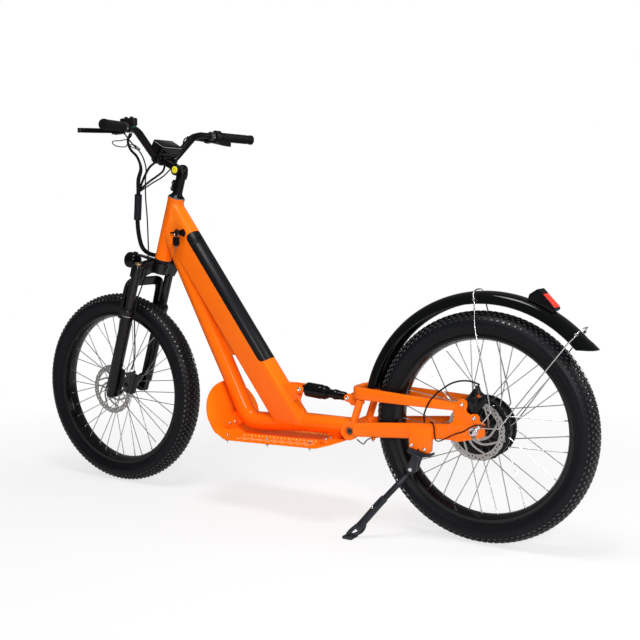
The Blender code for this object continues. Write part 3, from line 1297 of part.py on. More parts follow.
keep_on(CHASSIS)
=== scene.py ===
import math

import bmesh
import bpy
from mathutils import Matrix, Vector


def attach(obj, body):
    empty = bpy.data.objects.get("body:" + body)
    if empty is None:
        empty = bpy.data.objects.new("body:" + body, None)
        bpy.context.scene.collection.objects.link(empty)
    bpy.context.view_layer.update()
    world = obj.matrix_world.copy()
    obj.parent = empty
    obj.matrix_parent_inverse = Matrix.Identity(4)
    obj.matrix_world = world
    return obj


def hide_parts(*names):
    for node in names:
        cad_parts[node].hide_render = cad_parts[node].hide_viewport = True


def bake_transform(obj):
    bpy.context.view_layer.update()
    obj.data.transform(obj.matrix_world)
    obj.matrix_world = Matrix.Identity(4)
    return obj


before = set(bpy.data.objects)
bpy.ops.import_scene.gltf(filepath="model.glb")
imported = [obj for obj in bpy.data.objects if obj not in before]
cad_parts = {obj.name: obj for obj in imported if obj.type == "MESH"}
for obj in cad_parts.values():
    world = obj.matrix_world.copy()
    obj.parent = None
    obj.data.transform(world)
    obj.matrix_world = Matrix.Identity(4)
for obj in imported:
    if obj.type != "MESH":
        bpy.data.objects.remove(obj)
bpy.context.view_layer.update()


# Frame weldment
# The real frame is one aluminium weldment: head tube, boxed down tube, round spine that sweeps
# under it, shock ears and deck tabs. The welds are left as rippled beads, and the whole is
# sprayed gloss orange. Lengths are in millimetres, and mm() turns them into Blender's metres.


def mm(x, y, z):
    return Vector((x, y, z)) * 0.001


def leaning(place, slope):
    """Frame at a place, turned about Y so that its Z axis leans by slope degrees towards +X."""
    return Matrix.Translation(mm(*place)) @ Matrix.Rotation(math.radians(slope), 4, "Y")


HEAD_SLOPE = -17.2
STEERING = leaning((664.8, 0, 333.4), HEAD_SLOPE)
DOWN = leaning((0, 0, 0), 36.5)
HEAD_LOW = 519.5
HEAD_HIGH = 745.7
TUBE_HALF_WIDTH = 35.0
SPINE_RADIUS = 31.0
PIVOT = (-288.0, 0.0, 301.0)
SHOCK_FRONT = (-79.0, 0.0, 412.0)
LOCK = (416.0, 925.0)


def put(name, data):
    """A new object in the scene that shows a mesh, a lamp or a camera."""
    thing = bpy.data.objects.new(name, data)
    bpy.context.scene.collection.objects.link(thing)
    return thing


def built(name, bm):
    """The object that a finished bmesh makes."""
    mesh = bpy.data.meshes.new(name)
    bm.to_mesh(mesh)
    bm.free()
    return put(name, mesh)


def solid(name, bm, place=None):
    """A closed piece: double points merged, faces turned outwards, then set in its place."""
    bmesh.ops.remove_doubles(bm, verts=bm.verts, dist=1e-6)
    bmesh.ops.recalc_face_normals(bm, faces=bm.faces)
    thing = built(name, bm)
    if place:
        thing.data.transform(place)
    return thing


def skin(name, rings, place=None, closed=False):
    """Skin a row of equal point rings, in millimetres; closed joins the last ring to the first."""
    bm = bmesh.new()
    made = [[bm.verts.new(mm(*spot)) for spot in ring] for ring in rings]
    for one, two in zip(made, made[1:] + made[:1] if closed else made[1:]):
        for k in range(len(one)):
            n = (k + 1) % len(one)
            bm.faces.new((one[k], one[n], two[n], two[k]))
    if not closed:
        bm.faces.new(made[0])
        bm.faces.new(list(reversed(made[-1])))
    return solid(name, bm, place)


def facing(direction):
    return Vector(direction).to_track_quat("Z", "Y").to_matrix().to_4x4()


def hexagon(angle):
    """Reach of a six-sided outline at an angle, as a share of its corners' reach."""
    return math.cos(math.pi / 6) / math.cos(angle % (math.pi / 3) - math.pi / 6)


def turned(name, outline, centre=(0, 0, 0), along=(0, 0, 1), sides=48, place=None):
    """Revolve (radius, height) points about a line; a third word, hex, makes a ring six-sided."""
    set_down = Matrix.Translation(mm(*centre)) @ facing(along)
    if place:
        set_down = place @ set_down
    bm = bmesh.new()
    rings = []
    for radius, height, *shape in outline:
        ring = []
        for k in range(sides if radius > 1e-6 else 1):
            angle = 2 * math.pi * k / sides
            reach = radius * hexagon(angle) if shape else radius
            spot = mm(reach * math.cos(angle), reach * math.sin(angle), height)
            ring.append(bm.verts.new(set_down @ spot))
        rings.append(ring)
    for one, two in zip(rings, rings[1:] + rings[:1]):
        if len(one) == 1 and len(two) == 1:
            continue
        for k in range(sides):
            n = (k + 1) % sides
            if len(one) == 1:
                bm.faces.new((one[0], two[k], two[n]))
            elif len(two) == 1:
                bm.faces.new((one[k], one[n], two[0]))
            else:
                bm.faces.new((one[k], one[n], two[n], two[k]))
    return solid(name, bm)


def rod(name, start, end, radius, sides=32, place=None):
    line = Vector(end) - Vector(start)
    outline = [(0, 0), (radius, 0), (radius, line.length), (0, line.length)]
    return turned(name, outline, start, line, sides, place)


def crosswise(name, spot, low, high, radius, sides=32, place=None):
    """Rod along Y, from low to high, through a spot given by its X and Z."""
    return rod(name, (spot[0], low, spot[1]), (spot[0], high, spot[1]), radius, sides, place)


def drum(radius, half, bevel):
    """Outline of a cylinder with broken edges that reaches half its length each way."""
    return [(0, -half), (radius - bevel, -half), (radius, bevel - half), (radius, half - bevel),
            (radius - bevel, half), (0, half)]


def slab(name, outline, low, high, plane="XZ", place=None):
    """Extrude a flat outline from low to high along the axis that plane leaves out."""
    spots = {"XZ": lambda a, b, c: (a, c, b), "YZ": lambda a, b, c: (c, a, b),
             "XY": lambda a, b, c: (a, b, c)}[plane]
    return skin(name, [[spots(a, b, level) for a, b in outline] for level in (low, high)], place)


def block(name, centre, size, place=None, slope=0.0):
    bm = bmesh.new()
    lie = Matrix.Translation(mm(*centre)) @ Matrix.Rotation(math.radians(slope), 4, "Y")
    bmesh.ops.create_cube(bm, size=1.0, matrix=lie @ Matrix.Diagonal((*mm(*size), 1.0)))
    return solid(name, bm, place)


def eased(points, radius, steps=8, closed=False):
    """Round the corners of a path or outline with short curves."""
    spots = [Vector(p) for p in points]
    radii = list(radius) if isinstance(radius, (list, tuple)) else [radius] * len(spots)
    out = []
    for k, spot in enumerate(spots):
        if radii[k] <= 0.0 or (not closed and k in (0, len(spots) - 1)):
            out.append(tuple(spot))
            continue
        before = spots[k - 1] - spot
        after = spots[(k + 1) % len(spots)] - spot
        half = before.angle(after) / 2
        reach = min(radii[k] / math.tan(half), before.length * 0.48, after.length * 0.48)
        a = spot + before.normalized() * reach
        b = spot + after.normalized() * reach
        for j in range(steps + 1):
            t = j / steps
            out.append(tuple(a * (1 - t) ** 2 + spot * 2 * t * (1 - t) + b * t ** 2))
    return out


def sweep(name, points, radius, sides=24, place=None, closed=False):
    """A round bar along a path; radius is one number or one for each point."""
    spots = [Vector(p) for p in points]
    radii = list(radius) if isinstance(radius, (list, tuple)) else [radius] * len(spots)
    side = (spots[1] - spots[0]).orthogonal().normalized()
    rings = []
    for k, spot in enumerate(spots):
        if closed or 0 < k < len(spots) - 1:
            after = (spots[(k + 1) % len(spots)] - spot).normalized()
            ahead = after + (spot - spots[k - 1]).normalized()
        else:
            ahead = spots[1] - spots[0] if k == 0 else spot - spots[k - 1]
        ahead.normalize()
        side = (side - ahead * side.dot(ahead)).normalized()
        other = ahead.cross(side)
        turns = [2 * math.pi * j / sides for j in range(sides)]
        rings.append([spot + (side * math.cos(a) + other * math.sin(a)) * radii[k] for a in turns])
    return skin(name, rings, place, closed)


def arc(centre, radius, start, end, steps):
    turn = [math.radians(start + (end - start) * k / steps) for k in range(steps + 1)]
    return [(centre[0] + radius * math.cos(a), centre[1] + radius * math.sin(a)) for a in turn]


def gather(name, things):
    """Several shapes as one object."""
    bm = bmesh.new()
    for thing in things:
        bm.from_mesh(thing.data)
        bpy.data.objects.remove(thing)
    return built(name, bm)


def settle(thing):
    """Make a piece's modifiers permanent."""
    bpy.context.view_layer.update()
    seen = thing.evaluated_get(bpy.context.evaluated_depsgraph_get())
    mesh = bpy.data.meshes.new_from_object(seen)
    thing.modifiers.clear()
    thing.data = mesh
    return thing


def carve(operation, target, tools):
    """Work a piece with others, which are used up."""
    for tool in tools:
        step = target.modifiers.new("carve", "BOOLEAN")
        step.operation = operation
        step.object = tool
    settle(target)
    for tool in tools:
        bpy.data.objects.remove(tool)
    return target


def join(target, *tools):
    return carve("UNION", target, tools)


def cut(target, *tools):
    return carve("DIFFERENCE", target, tools)


def trim(target, tool):
    """Keep only what lies inside the tool."""
    return carve("INTERSECT", target, [tool])


def round_edges(thing, width, segments=2, angle=35.0):
    """Break the sharp edges, as a cast, filed or moulded piece has them."""
    step = thing.modifiers.new("round", "BEVEL")
    step.width = width * 0.001
    step.segments = segments
    step.angle_limit = math.radians(angle)
    return settle(thing)


def number(thing, index, count):
    """Give a shape its own seam number, so that its welds can be found after it is joined."""
    for _ in range(count):
        thing.data.materials.append(None)
    for face in thing.data.polygons:
        face.material_index = index
    return thing


def weld_lines(thing, bare):
    """Rows of points along the corners where two differently numbered shapes meet; faces that
    carry the number bare have been cut and take no weld."""
    bm = bmesh.new()
    bm.from_mesh(thing.data)
    bonds = {}
    for edge in bm.edges:
        if len(edge.link_faces) != 2:
            continue
        one, two = edge.link_faces
        seams = {one.material_index, two.material_index}
        if len(seams) == 1 or bare in seams:
            continue
        if one.normal.angle(two.normal, 0.0) < math.radians(15):
            continue
        a, b = edge.verts
        bonds.setdefault(a, []).append(b)
        bonds.setdefault(b, []).append(a)
    ends = [v for v in bonds if len(bonds[v]) != 2] + list(bonds)
    lines = []
    used = set()
    for start in ends:
        for step in bonds[start]:
            if frozenset((start, step)) in used:
                continue
            line = [start, step]
            used.add(frozenset((start, step)))
            while len(bonds[line[-1]]) == 2:
                onward = [v for v in bonds[line[-1]] if frozenset((line[-1], v)) not in used]
                if not onward:
                    break
                used.add(frozenset((line[-1], onward[0])))
                line.append(onward[0])
            lines.append([v.co * 1000 for v in line])
    bm.free()
    return lines


def evenly(line, pitch):
    """The same line with a point every pitch millimetres."""
    out = [line[0]]
    left = pitch
    for a, b in zip(line, line[1:]):
        length = (b - a).length
        while length > left:
            a = a.lerp(b, left / length)
            length = (b - a).length
            left = pitch
            out.append(a)
        left -= length
    return out


BEAD_RADIUS = 2.9
BEAD_RIPPLE = 3.6


def beads(name, thing, bare):
    """Stacked-coin weld beads along a weldment's seams."""
    swell = [1.0, 0.93, 0.8, 0.93]
    made = []
    for line in weld_lines(thing, bare):
        row = evenly(line, BEAD_RIPPLE / 4)
        if len(row) < 14:
            continue
        for _ in range(3):
            softer = [(a + b * 2 + c) / 4 for a, b, c in zip(row, row[1:], row[2:])]
            row = [row[0]] + softer + [row[-1]]
        made.append(sweep("bead", row, [BEAD_RADIUS * swell[k % 4] for k in range(len(row))], 8))
    return gather(name, made)


def down_section(grow=0.0):
    """Outline of the down tube in its own frame: flat front, flat sides and a rounded back."""
    side = TUBE_HALF_WIDTH + grow
    corner = 12.0
    front = -160.0 + grow - corner
    turns = [math.pi * k / 24 for k in range(25)]
    back = [(-240 - (28 + grow) * math.sin(a), side * math.cos(a)) for a in turns]
    left = arc((front, corner - side), corner, -90, 0, 6)
    return back + left + arc((front, side - corner), corner, 0, 90, 6)


def down_solid(name, low, high, grow=0.0):
    return skin(name, [[(u, y, w) for u, y in down_section(grow)] for w in (low, high)], DOWN)


def battery_outline(grow):
    """Side outline of the battery cap, with rounded ends, in the down tube's frame."""
    seam = -236.0 + grow
    return eased([(-300, 432 - grow), (seam, 432 - grow), (seam, 960 + grow), (-300, 960 + grow)],
                 [0, 26, 26, 0], 10, True)


def shading(kind, tree, feeds=None, **settings):
    """A shader node with its settings made and each input given a socket or a fixed value."""
    node = tree.nodes.new("ShaderNode" + kind)
    for label, value in settings.items():
        setattr(node, label, value)
    for plug, value in (feeds or {}).items():
        if isinstance(value, bpy.types.NodeSocket):
            tree.links.new(value, node.inputs[plug])
        else:
            node.inputs[plug].default_value = value
    return node


def effect(name, inputs, outputs):
    """An empty node group with named sockets."""
    group = bpy.data.node_groups.new(name, "ShaderNodeTree")
    for label, value in inputs:
        group.interface.new_socket(name=label, in_out="INPUT",
                                   socket_type="NodeSocketFloat").default_value = value
    for label in outputs:
        group.interface.new_socket(name=label, in_out="OUTPUT", socket_type="NodeSocketFloat")
    return group, group.nodes.new("NodeGroupInput"), group.nodes.new("NodeGroupOutput")


def noise_over(tree, scale, detail):
    """Noise over the piece's own coordinates, its scale a socket or a number."""
    place = shading("TexCoord", tree)
    feeds = {"Vector": place.outputs["Object"], "Scale": scale, "Detail": detail}
    return shading("TexNoise", tree, feeds).outputs["Fac"]


# The same edge mask carries real wear on most finishes and painted glints on the tyre knobs and the
# deck's pressings.
def edge_wear_and_glint_effect():
    """Mask of the proud edges, broken up by a fine noise."""
    group, given, made = effect("edge_wear_and_glint", [("Reach", 0.06), ("Breakup Scale", 300.0)], ["Mask"])
    shape = shading("NewGeometry", group)
    past = shading("Math", group, {0: shape.outputs["Pointiness"], 1: 0.52}, operation="SUBTRACT")
    share = shading("Math", group, {0: past.outputs[0], 1: given.outputs["Reach"]},
                    operation="DIVIDE", use_clamp=True)
    noise = noise_over(group, given.outputs["Breakup Scale"], 4.0)
    broken = shading("Math", group, {0: share.outputs[0], 1: noise}, operation="MULTIPLY")
    group.links.new(broken.outputs[0], made.inputs["Mask"])
    return group


def grain_effect():
    """Fine height and a slow shade change, for moulded, cast and sprayed surfaces."""
    group, given, made = effect("fine_grain", [("Grain Scale", 900.0), ("Cloud Scale", 9.0)],
                                ["Height", "Shade"])
    for scale, out, detail in (("Grain Scale", "Height", 3.0), ("Cloud Scale", "Shade", 5.0)):
        group.links.new(noise_over(group, given.outputs[scale], detail), made.inputs[out])
    return group


def dust_effect():
    """Mask of the dust that settles on faces that look up, in loose patches."""
    group, given, made = effect("road_dust", [("Amount", 0.3), ("Patch Scale", 14.0)], ["Mask"])
    shape = shading("NewGeometry", group)
    split = shading("SeparateXYZ", group, {0: shape.outputs["Normal"]})
    up = shading("MapRange", group, {"Value": split.outputs["Z"], "From Min": -0.2})
    noise = noise_over(group, given.outputs["Patch Scale"], 6.0)
    patches = shading("Math", group, {0: up.outputs[0], 1: noise}, operation="MULTIPLY")
    scaled = shading("Math", group, {0: patches.outputs[0], 1: given.outputs["Amount"]},
                     operation="MULTIPLY", use_clamp=True)
    group.links.new(scaled.outputs[0], made.inputs["Mask"])
    return group


EDGE_WEAR_AND_GLINT = edge_wear_and_glint_effect()
FINE_GRAIN = grain_effect()
ROAD_DUST = dust_effect()
DUST_COLOUR = (0.3, 0.27, 0.23)


def use(tree, group, **values):
    """A node that holds an effect, its inputs set by name."""
    feeds = {label.replace("_", " "): value for label, value in values.items()}
    return shading("Group", tree, feeds, node_tree=group)


def blended(tree, base, other, mask):
    """Colour socket that goes from base to other by a mask socket."""
    ends = [end if isinstance(end, bpy.types.NodeSocket) else (*end, 1.0) for end in (base, other)]
    mix = shading("Mix", tree, {"Factor": mask, 6: ends[0], 7: ends[1]}, data_type="RGBA")
    return mix.outputs[2]


def blank_finish(name, **values):
    """A new material with its tree and its shader, some of the shader's inputs fixed by name."""
    material = bpy.data.materials.new(name)
    material.use_nodes = True
    shader = material.node_tree.nodes["Principled BSDF"]
    for label, value in values.items():
        shader.inputs[label.replace("_", " ")].default_value = value
    return material, material.node_tree, shader


def roughened(tree, shader, mask, low, high):
    """Let a mask move the shader's roughness between low and high."""
    rough = shading("MapRange", tree, {"Value": mask, "To Min": low, "To Max": high})
    tree.links.new(rough.outputs[0], shader.inputs["Roughness"])


def raised(tree, shader, height, depth):
    """Let a mask lift the surface by up to depth millimetres."""
    bump = shading("Bump", tree, {"Height": height, "Strength": 1.0, "Distance": depth * 0.001})
    tree.links.new(bump.outputs[0], shader.inputs["Normal"])


def surfaced(name, colour, cloudy, roughness, spread, grain, depth, wear_and_glint, wear_and_glint_reach, dust,
             shine=0.2):
    """A finish: colour with a slow cloud in it, a second colour on proud edges, which is wear on most
    finishes and a painted glint on the tyre knobs and the deck's pressings, dust on top and a fine
    relief.
    """
    material, tree, shader = blank_finish(name, Specular_IOR_Level=shine)
    relief = use(tree, FINE_GRAIN, Grain_Scale=grain)
    wear_and_glint_mask = use(tree, EDGE_WEAR_AND_GLINT, Reach=wear_and_glint_reach)
    settled = use(tree, ROAD_DUST, Amount=dust)
    clouded = blended(tree, colour, cloudy, relief.outputs["Shade"])
    rubbed_and_glinting = blended(tree, clouded, wear_and_glint, wear_and_glint_mask.outputs["Mask"])
    dusty = blended(tree, rubbed_and_glinting, DUST_COLOUR, settled.outputs["Mask"])
    tree.links.new(dusty, shader.inputs["Base Color"])
    roughened(tree, shader, relief.outputs["Shade"], roughness - spread, roughness + spread)
    raised(tree, shader, relief.outputs["Height"], depth)
    return material


def dress(thing, material, body, slot, *nodes, sharp=32.0):
    """Shade, paint and hang a piece on its body, in place of the CAD nodes that it stands for."""
    thing.data.materials.clear()
    thing.data.materials.append(material)
    for face in thing.data.polygons:
        face.material_index = 0
    thing.data.shade_smooth()
    thing.data.set_sharp_from_angle(angle=math.radians(sharp))
    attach(thing, body)
    if nodes:
        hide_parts(*nodes)


GLOSS_ORANGE = surfaced("gloss_orange", (1.0, 0.148, 0.0022), (1.0, 0.168, 0.0028), 0.16, 0.05,
                        700.0, 0.01, (1.0, 0.25, 0.02), 0.12, 0.01, shine=0.17)

SPINE_PATH = eased(
    [(470, 0, 919.5), (376, 0, 740), (334, 0, 660), (280, 0, 556), (203, 0, 411), (137, 0, 284),
     (48, 0, 288), (-92, 0, 301), (-268, 0, 302)],
    [0, 0, 0, 0, 0, 110, 500, 500, 0], 14)
SEAMS = 8
CUT_SEAM = 7


def down_tube():
    """The down tube, its flanks drawn in towards the head and its ends trimmed."""
    tube = down_solid("tube", 180, 1110)
    trims = []
    for side in (-1, 1):
        flank = [(-118, side * 35.6), (4, side * 27), (4, side * 60), (-118, side * 60)]
        trims.append(slab("flank", flank, 480, 800, "XY", STEERING))
    trims.append(block("ahead", (80, 0, 680), (160, 120, 640), STEERING))
    trims.append(block("over", (-60, 0, HEAD_HIGH + 51), (400, 140, 120), STEERING))
    trims.append(block("under", (0, 0, 145), (500, 140, 300)))
    return round_edges(cut(tube, *trims), 3.0, 3)


def deck_tabs():
    """The two flat tabs that deck and shield bolt to, a gusset behind one and a foot on the other."""
    half = [(0, -7), (50, -7), (70, -3), (77, 6), (74, 20), (64, 27), (46, 26), (22, 33), (12, 45),
            (0, 45)]
    outline = eased(half + [(-y, s) for y, s in reversed(half[1:-1])], 5, 3, True)
    front = skin("tab", [[(190 + 0.368 * s - 0.93 * off, y, 262 + 0.93 * s + 0.368 * off)
                          for y, s in outline] for off in (2.3, 10.5)])
    gusset = slab("gusset", [(185, 264), (201, 303), (172, 318), (150, 290), (166, 270)], -14, 14)
    half = [(-178, 0), (-178, 36), (-187, 70), (-198, 81), (-214, 84), (-226, 74), (-233, 50),
            (-238, 24), (-240, 0)]
    outline = eased(half + [(x, -y) for x, y in reversed(half[1:-1])], 6, 3, True)
    rear = slab("tab", outline, 253.2, 261.6, "XY")
    foot = block("tab_foot", (-212, 0, 268), (50, 34, 18))
    return [round_edges(front, 1.2, 2, 50), gusset, round_edges(rear, 1.5, 2, 50), foot]


def frame_weldment():
    tube = down_tube()
    head = turned("head", [(0, HEAD_LOW), (29, HEAD_LOW), (30, 520.5), (30, 526.5), (29, 529),
                           (29, 735), (30, 737.5), (30, 744.7), (29, HEAD_HIGH), (0, HEAD_HIGH)],
                  sides=72, place=STEERING)
    spine = sweep("spine", SPINE_PATH, SPINE_RADIUS, 56)
    cut(spine, block("front", (100, 0, 680), (200, 120, 640), STEERING))
    web = slab("web", [(175, 505), (243, 505), (284, 560), (334, 660), (376, 740), (346, 745),
                       (206, 556)], -5, 5)
    eye = (SHOCK_FRONT[0], SHOCK_FRONT[2])
    ear = [(5, 424), (-40, 427)] + arc(eye, 14, 90, 300, 24) + [(-66, 392), (-57, 366), (-10, 366)]
    ears = [round_edges(slab("ear", ear, low, low + 5.5), 1.0) for low in (-21.5, 16)]
    shell = turned("pivot_shell", drum(25, 38, 1.5), PIVOT, (0, 1, 0), 56)
    joined = [[tube], [head], [spine], [web], ears, [shell], deck_tabs()]
    for seam, things in enumerate(joined):
        for thing in things:
            number(thing, seam, SEAMS)
    join(tube, *[thing for things in joined[1:] for thing in things])
    cuts = [slab("bay_cap", battery_outline(0.4), -60, 60, place=DOWN),
            block("bay", (-221, 0, 696), (60, 61, 508), DOWN),
            crosswise("lock_bore", LOCK, 20, 50, 9.4),
            crosswise("ear_bore", eye, -40, 40, 5.3),
            crosswise("axle_bore", PIVOT[::2], -60, 60, 8.3),
            rod("column_bore", (0, 0, 500), (0, 0, 780), 22, 48, STEERING)]
    cut(tube, *[number(tool, CUT_SEAM, SEAMS) for tool in cuts])
    dress(beads("frame_welds", tube, CUT_SEAM), GLOSS_ORANGE, "frame", "orange_paint")
    tube.name = "frame_weldment"
    dress(tube, GLOSS_ORANGE, "frame", "orange_paint", "head_tube", "down_tube", "spine_tube",
          sharp=28.0)


frame_weldment()


# Bolts on the frame
# Stainless button-head screws with hexagon sockets hold the deck tabs. The same screws are used
# for the shock, the dropouts and the stand bracket.


def bare_metal(name, colour, roughness, brushed=(40.0, 40.0, 900.0), depth=0.006):
    """Uncoated metal with fine drawn lines along one direction."""
    material, tree, shader = blank_finish(name, Metallic=1.0)
    place = shading("TexCoord", tree)
    drawn = shading("Mapping", tree, {"Vector": place.outputs["Object"], "Scale": brushed})
    lines = shading("TexNoise", tree, {"Vector": drawn.outputs[0], "Scale": 1.0, "Detail": 3.0})
    wear_and_glint_mask = use(tree, EDGE_WEAR_AND_GLINT, Reach=0.08)
    dull = tuple(c * 0.72 for c in colour)
    bright = tuple(min(1.0, c * 1.25) for c in colour)
    streaked = blended(tree, dull, colour, lines.outputs["Fac"])
    tree.links.new(blended(tree, streaked, bright, wear_and_glint_mask.outputs["Mask"]), shader.inputs["Base Color"])
    roughened(tree, shader, lines.outputs["Fac"], max(0.04, roughness - 0.1), roughness + 0.1)
    raised(tree, shader, lines.outputs["Fac"], depth)
    return material


STAINLESS = bare_metal("stainless_screws", (0.66, 0.66, 0.67), 0.24)


def screw(spot, along, radius, height, shank=0.0, place=None):
    """Button head with a hexagon socket, standing on spot and pointing along."""
    socket = radius * 0.52
    outline = [(0, -shank), (radius * 0.5, -shank), (radius * 0.5, 0), (radius, 0),
               (radius, height * 0.3), (radius * 0.93, height * 0.62), (radius * 0.78, height * 0.88),
               (radius * 0.6, height), (socket, height, "hex"), (socket * 0.94, height * 0.3, "hex"),
               (0, height * 0.22)]
    if not shank:
        outline = outline[:1] + outline[3:]
    return turned("screw", outline, spot, along, 24, place)


def hex_nut(spot, along, radius, height, bore, place=None):
    outline = [(bore, 0), (radius * 0.94, 0), (radius, height * 0.12, "hex"),
               (radius, height * 0.88, "hex"), (radius * 0.94, height), (bore, height)]
    return turned("nut", outline, spot, along, 24, place)


def tab_screws():
    made = []
    for y in (-55, -26, 26, 55):
        made.append(screw((183.6, y, 276.3), (-0.93, 0, 0.368), 5.6, 5.0))
        made.append(screw((-202, y, 261.5), (0, 0, 1), 4.8, 8.0))
    dress(gather("deck_tab_screws", made), STAINLESS, "frame", "silver_steel")


tab_screws()


# Deck plate
# A 5 mm aluminium footboard with a turned-up round shield in front, pressed chevrons and dimples
# for grip, and studs through its edge. It is sprayed with the frame; its orange is a lighter copy of
# the frame's, painted light on the upward deck, and the chevrons and dimples carry painted highlights.
DECK_LINE = [(248.6, 410.6), (243, 397), (226, 355), (207, 305), (190, 262), (150, 239.5), (60, 242),
             (-205, 251.5), (-262, 266)]
DECK_THICKNESS = 5.0
SHIELD_ROUND = 115.0
TAIL_ROUND = 62.0
# The deck's orange is a lighter, yellower copy of the frame's gloss orange: painted light on the
# upward-facing deck.
DECK_ORANGE_LIT = surfaced("deck_orange_lit", (1.0, 0.165, 0.0025), (1.0, 0.185, 0.0032), 0.4, 0.06,
                       900.0, 0.03, (1.0, 0.27, 0.02), 0.12, 0.01, shine=0.05)
# The pressings' lighter orange, paler still on their proud edges, is a painted highlight on the chevrons.
PRESSINGS_PAINTED_HIGHLIGHT = surfaced("pressings_painted_highlight", (1.0, 0.235, 0.045), (1.0, 0.27, 0.07), 0.26, 0.06,
                         700.0, 0.01, (1.0, 0.45, 0.2), 0.12, 0.0, shine=0.3)
# The dimples' bright yellow-orange, paler still on their edges, is a painted glint on their tops.
DIMPLE_PAINTED_GLINT = surfaced("dimple_painted_glint", (1.0, 0.45, 0.03), (1.0, 0.52, 0.06), 0.24, 0.06,
                     700.0, 0.01, (1.0, 0.7, 0.25), 0.12, 0.0, shine=0.3)
DARK_STEEL = surfaced("dark_steel", (0.02, 0.02, 0.022), (0.034, 0.034, 0.036), 0.34, 0.08,
                      900.0, 0.02, (0.3, 0.3, 0.31), 0.09, 0.03, shine=0.3)


def deck_half_width(run, whole):
    """Half the deck's width at a run along it from the shield's top edge."""
    ahead = max(0.0, (SHIELD_ROUND - run) / SHIELD_ROUND)
    behind = max(0.0, (run - (whole - TAIL_ROUND)) / TAIL_ROUND)
    bulge = 12 * max(0.0, min(1.0, (175 - run) / 60))
    return (130 + bulge) * math.sqrt(max(0.004, 1 - ahead ** 2)) * math.sqrt(
        max(0.16, 1 - 0.9 * behind ** 2))


def deck_plate():
    line = [Vector(p) for p in eased(DECK_LINE, [0, 0, 0, 0, 26, 34, 0, 60, 0], 8)]
    total = sum((b - a).length for a, b in zip(line, line[1:]))
    straight = total - SHIELD_ROUND - TAIL_ROUND
    wanted = [SHIELD_ROUND * (1 - math.cos(k * math.pi / 36)) for k in range(1, 19)]
    wanted += [SHIELD_ROUND + straight * k / 46 for k in range(1, 47)]
    wanted += [total - TAIL_ROUND + TAIL_ROUND * math.sin(k * math.pi / 24) for k in range(1, 13)]
    runs = [0.0]
    spots = [line[0]]
    reached = 0.0
    for a, b in zip(line, line[1:]):
        length = (b - a).length
        while wanted and wanted[0] <= reached + length + 1e-6:
            spots.append(a.lerp(b, (wanted[0] - reached) / length))
            runs.append(wanted.pop(0))
        reached += length
    rings = []
    for k, spot in enumerate(spots):
        ahead = spots[min(k + 1, len(spots) - 1)] - spots[max(k - 1, 0)]
        normal = Vector((-ahead[1], ahead[0])).normalized() * DECK_THICKNESS / 2
        wide = deck_half_width(runs[k], total)
        up = spot + normal
        low = spot - normal
        rings.append([(up[0], -wide, up[1]), (up[0], wide, up[1]), (low[0], wide, low[1]),
                      (low[0], -wide, low[1])])
    plate = round_edges(skin("deck_plate_fine", rings), 1.6, 3, 50)
    dress(plate, DECK_ORANGE_LIT, "frame", "orange_paint", "deck_plate", sharp=40)


def deck_pressings():
    presses = []
    tops = []
    dimple = [(0, -1), (4.2, -0.6), (4.0, 0.8), (2.6, 2.2), (0, 2.8)]
    for k in range(10):
        x = 118 - 30 * k
        z = 242 + DECK_THICKNESS / 2 - 0.0358 * (x - 60)
        low = z - 2.6
        for side in (-1, 1):
            bend = [(x, side * 62, low), (x - 26, side * 91, low + 0.6), (x - 4, side * 119, low)]
            row = [tuple(p) for p in evenly([Vector(p) for p in eased(bend, 4)], 3.0)]
            ends = [3.6, 5.0] + [6.0] * (len(row) - 4) + [5.0, 3.6]
            presses.append(sweep("chevron", row, ends, 12))
            for shift in (0, 15):
                tops.append(turned("dimple", dimple, (x + 6 - shift, side * 52, z), sides=16))
    # Chevrons and dimples take painted highlight colours, lighter than the deck.
    dress(gather("deck_pressings", presses), PRESSINGS_PAINTED_HIGHLIGHT, "frame", "orange_paint", sharp=40)
    dress(gather("deck_pressed_tops", tops), DIMPLE_PAINTED_GLINT, "frame", "orange_paint", sharp=40)


def deck_studs():
    studs = []
    nuts = []
    sleeve = [(2.6, 0), (4.0, 0), (4.0, 3), (2.6, 3)]
    for x, y, z in ((155, 107, 240), (-8, 108, 244.5), (-170, 104, 250.3)):
        for side in (-1, 1):
            studs.append(screw((x, side * y, z + 4.4), (0, 0, 1), 4.2, 10.5, shank=22.0))
            studs.append(turned("sleeve", sleeve, (x, side * y, z + 2), sides=20))
            nuts.append(hex_nut((x, side * y, z - 9.0), (0, 0, 1), 6.4, 4.6, 2.4))
    dress(gather("deck_studs", studs), STAINLESS, "frame", "silver_steel")
    dress(gather("deck_stud_nuts", nuts), DARK_STEEL, "frame", "black_metal")


deck_plate()
deck_pressings()
deck_studs()


# Headset and swing axle
# A black anodised bearing cup presses into the head tube's lower end. The swing axle is a dark
# steel bolt with hexagon heads that show inside the orange bosses.
BLACK_ANODISED = surfaced("black_anodised", (0.0018, 0.0018, 0.0022), (0.0035, 0.0035, 0.004), 0.24,
                          0.06, 1100.0, 0.01, (0.04, 0.04, 0.044), 0.12, 0.004, shine=0.13)


def headset():
    lower = [(14.6, 507), (26, 507), (27.4, 508), (29.5, 510.6), (29.5, 518.6), (28.8, 519.2),
             (21.7, 519.2), (21.7, 532), (14.6, 532)]
    cup = turned("lower_headset_cup", lower, sides=64, place=STEERING)
    dress(cup, BLACK_ANODISED, "frame", "black_metal", "headset_cup")


def swing_axle():
    parts = [crosswise("shaft", PIVOT[::2], -48, 48, 8)]
    head = [(0, 0), (12.2, 0, "hex"), (12.2, 6.6, "hex"), (11, 8), (6.4, 8), (6.0, 4.5, "hex"),
            (0, 4.2)]
    for side in (-1, 1):
        parts.append(turned("head", head, (PIVOT[0], side * 44, PIVOT[2]), (0, side, 0), 24))
    dress(gather("swing_axle_bolt", parts), DARK_STEEL, "frame", "black_metal", "swing_axle")


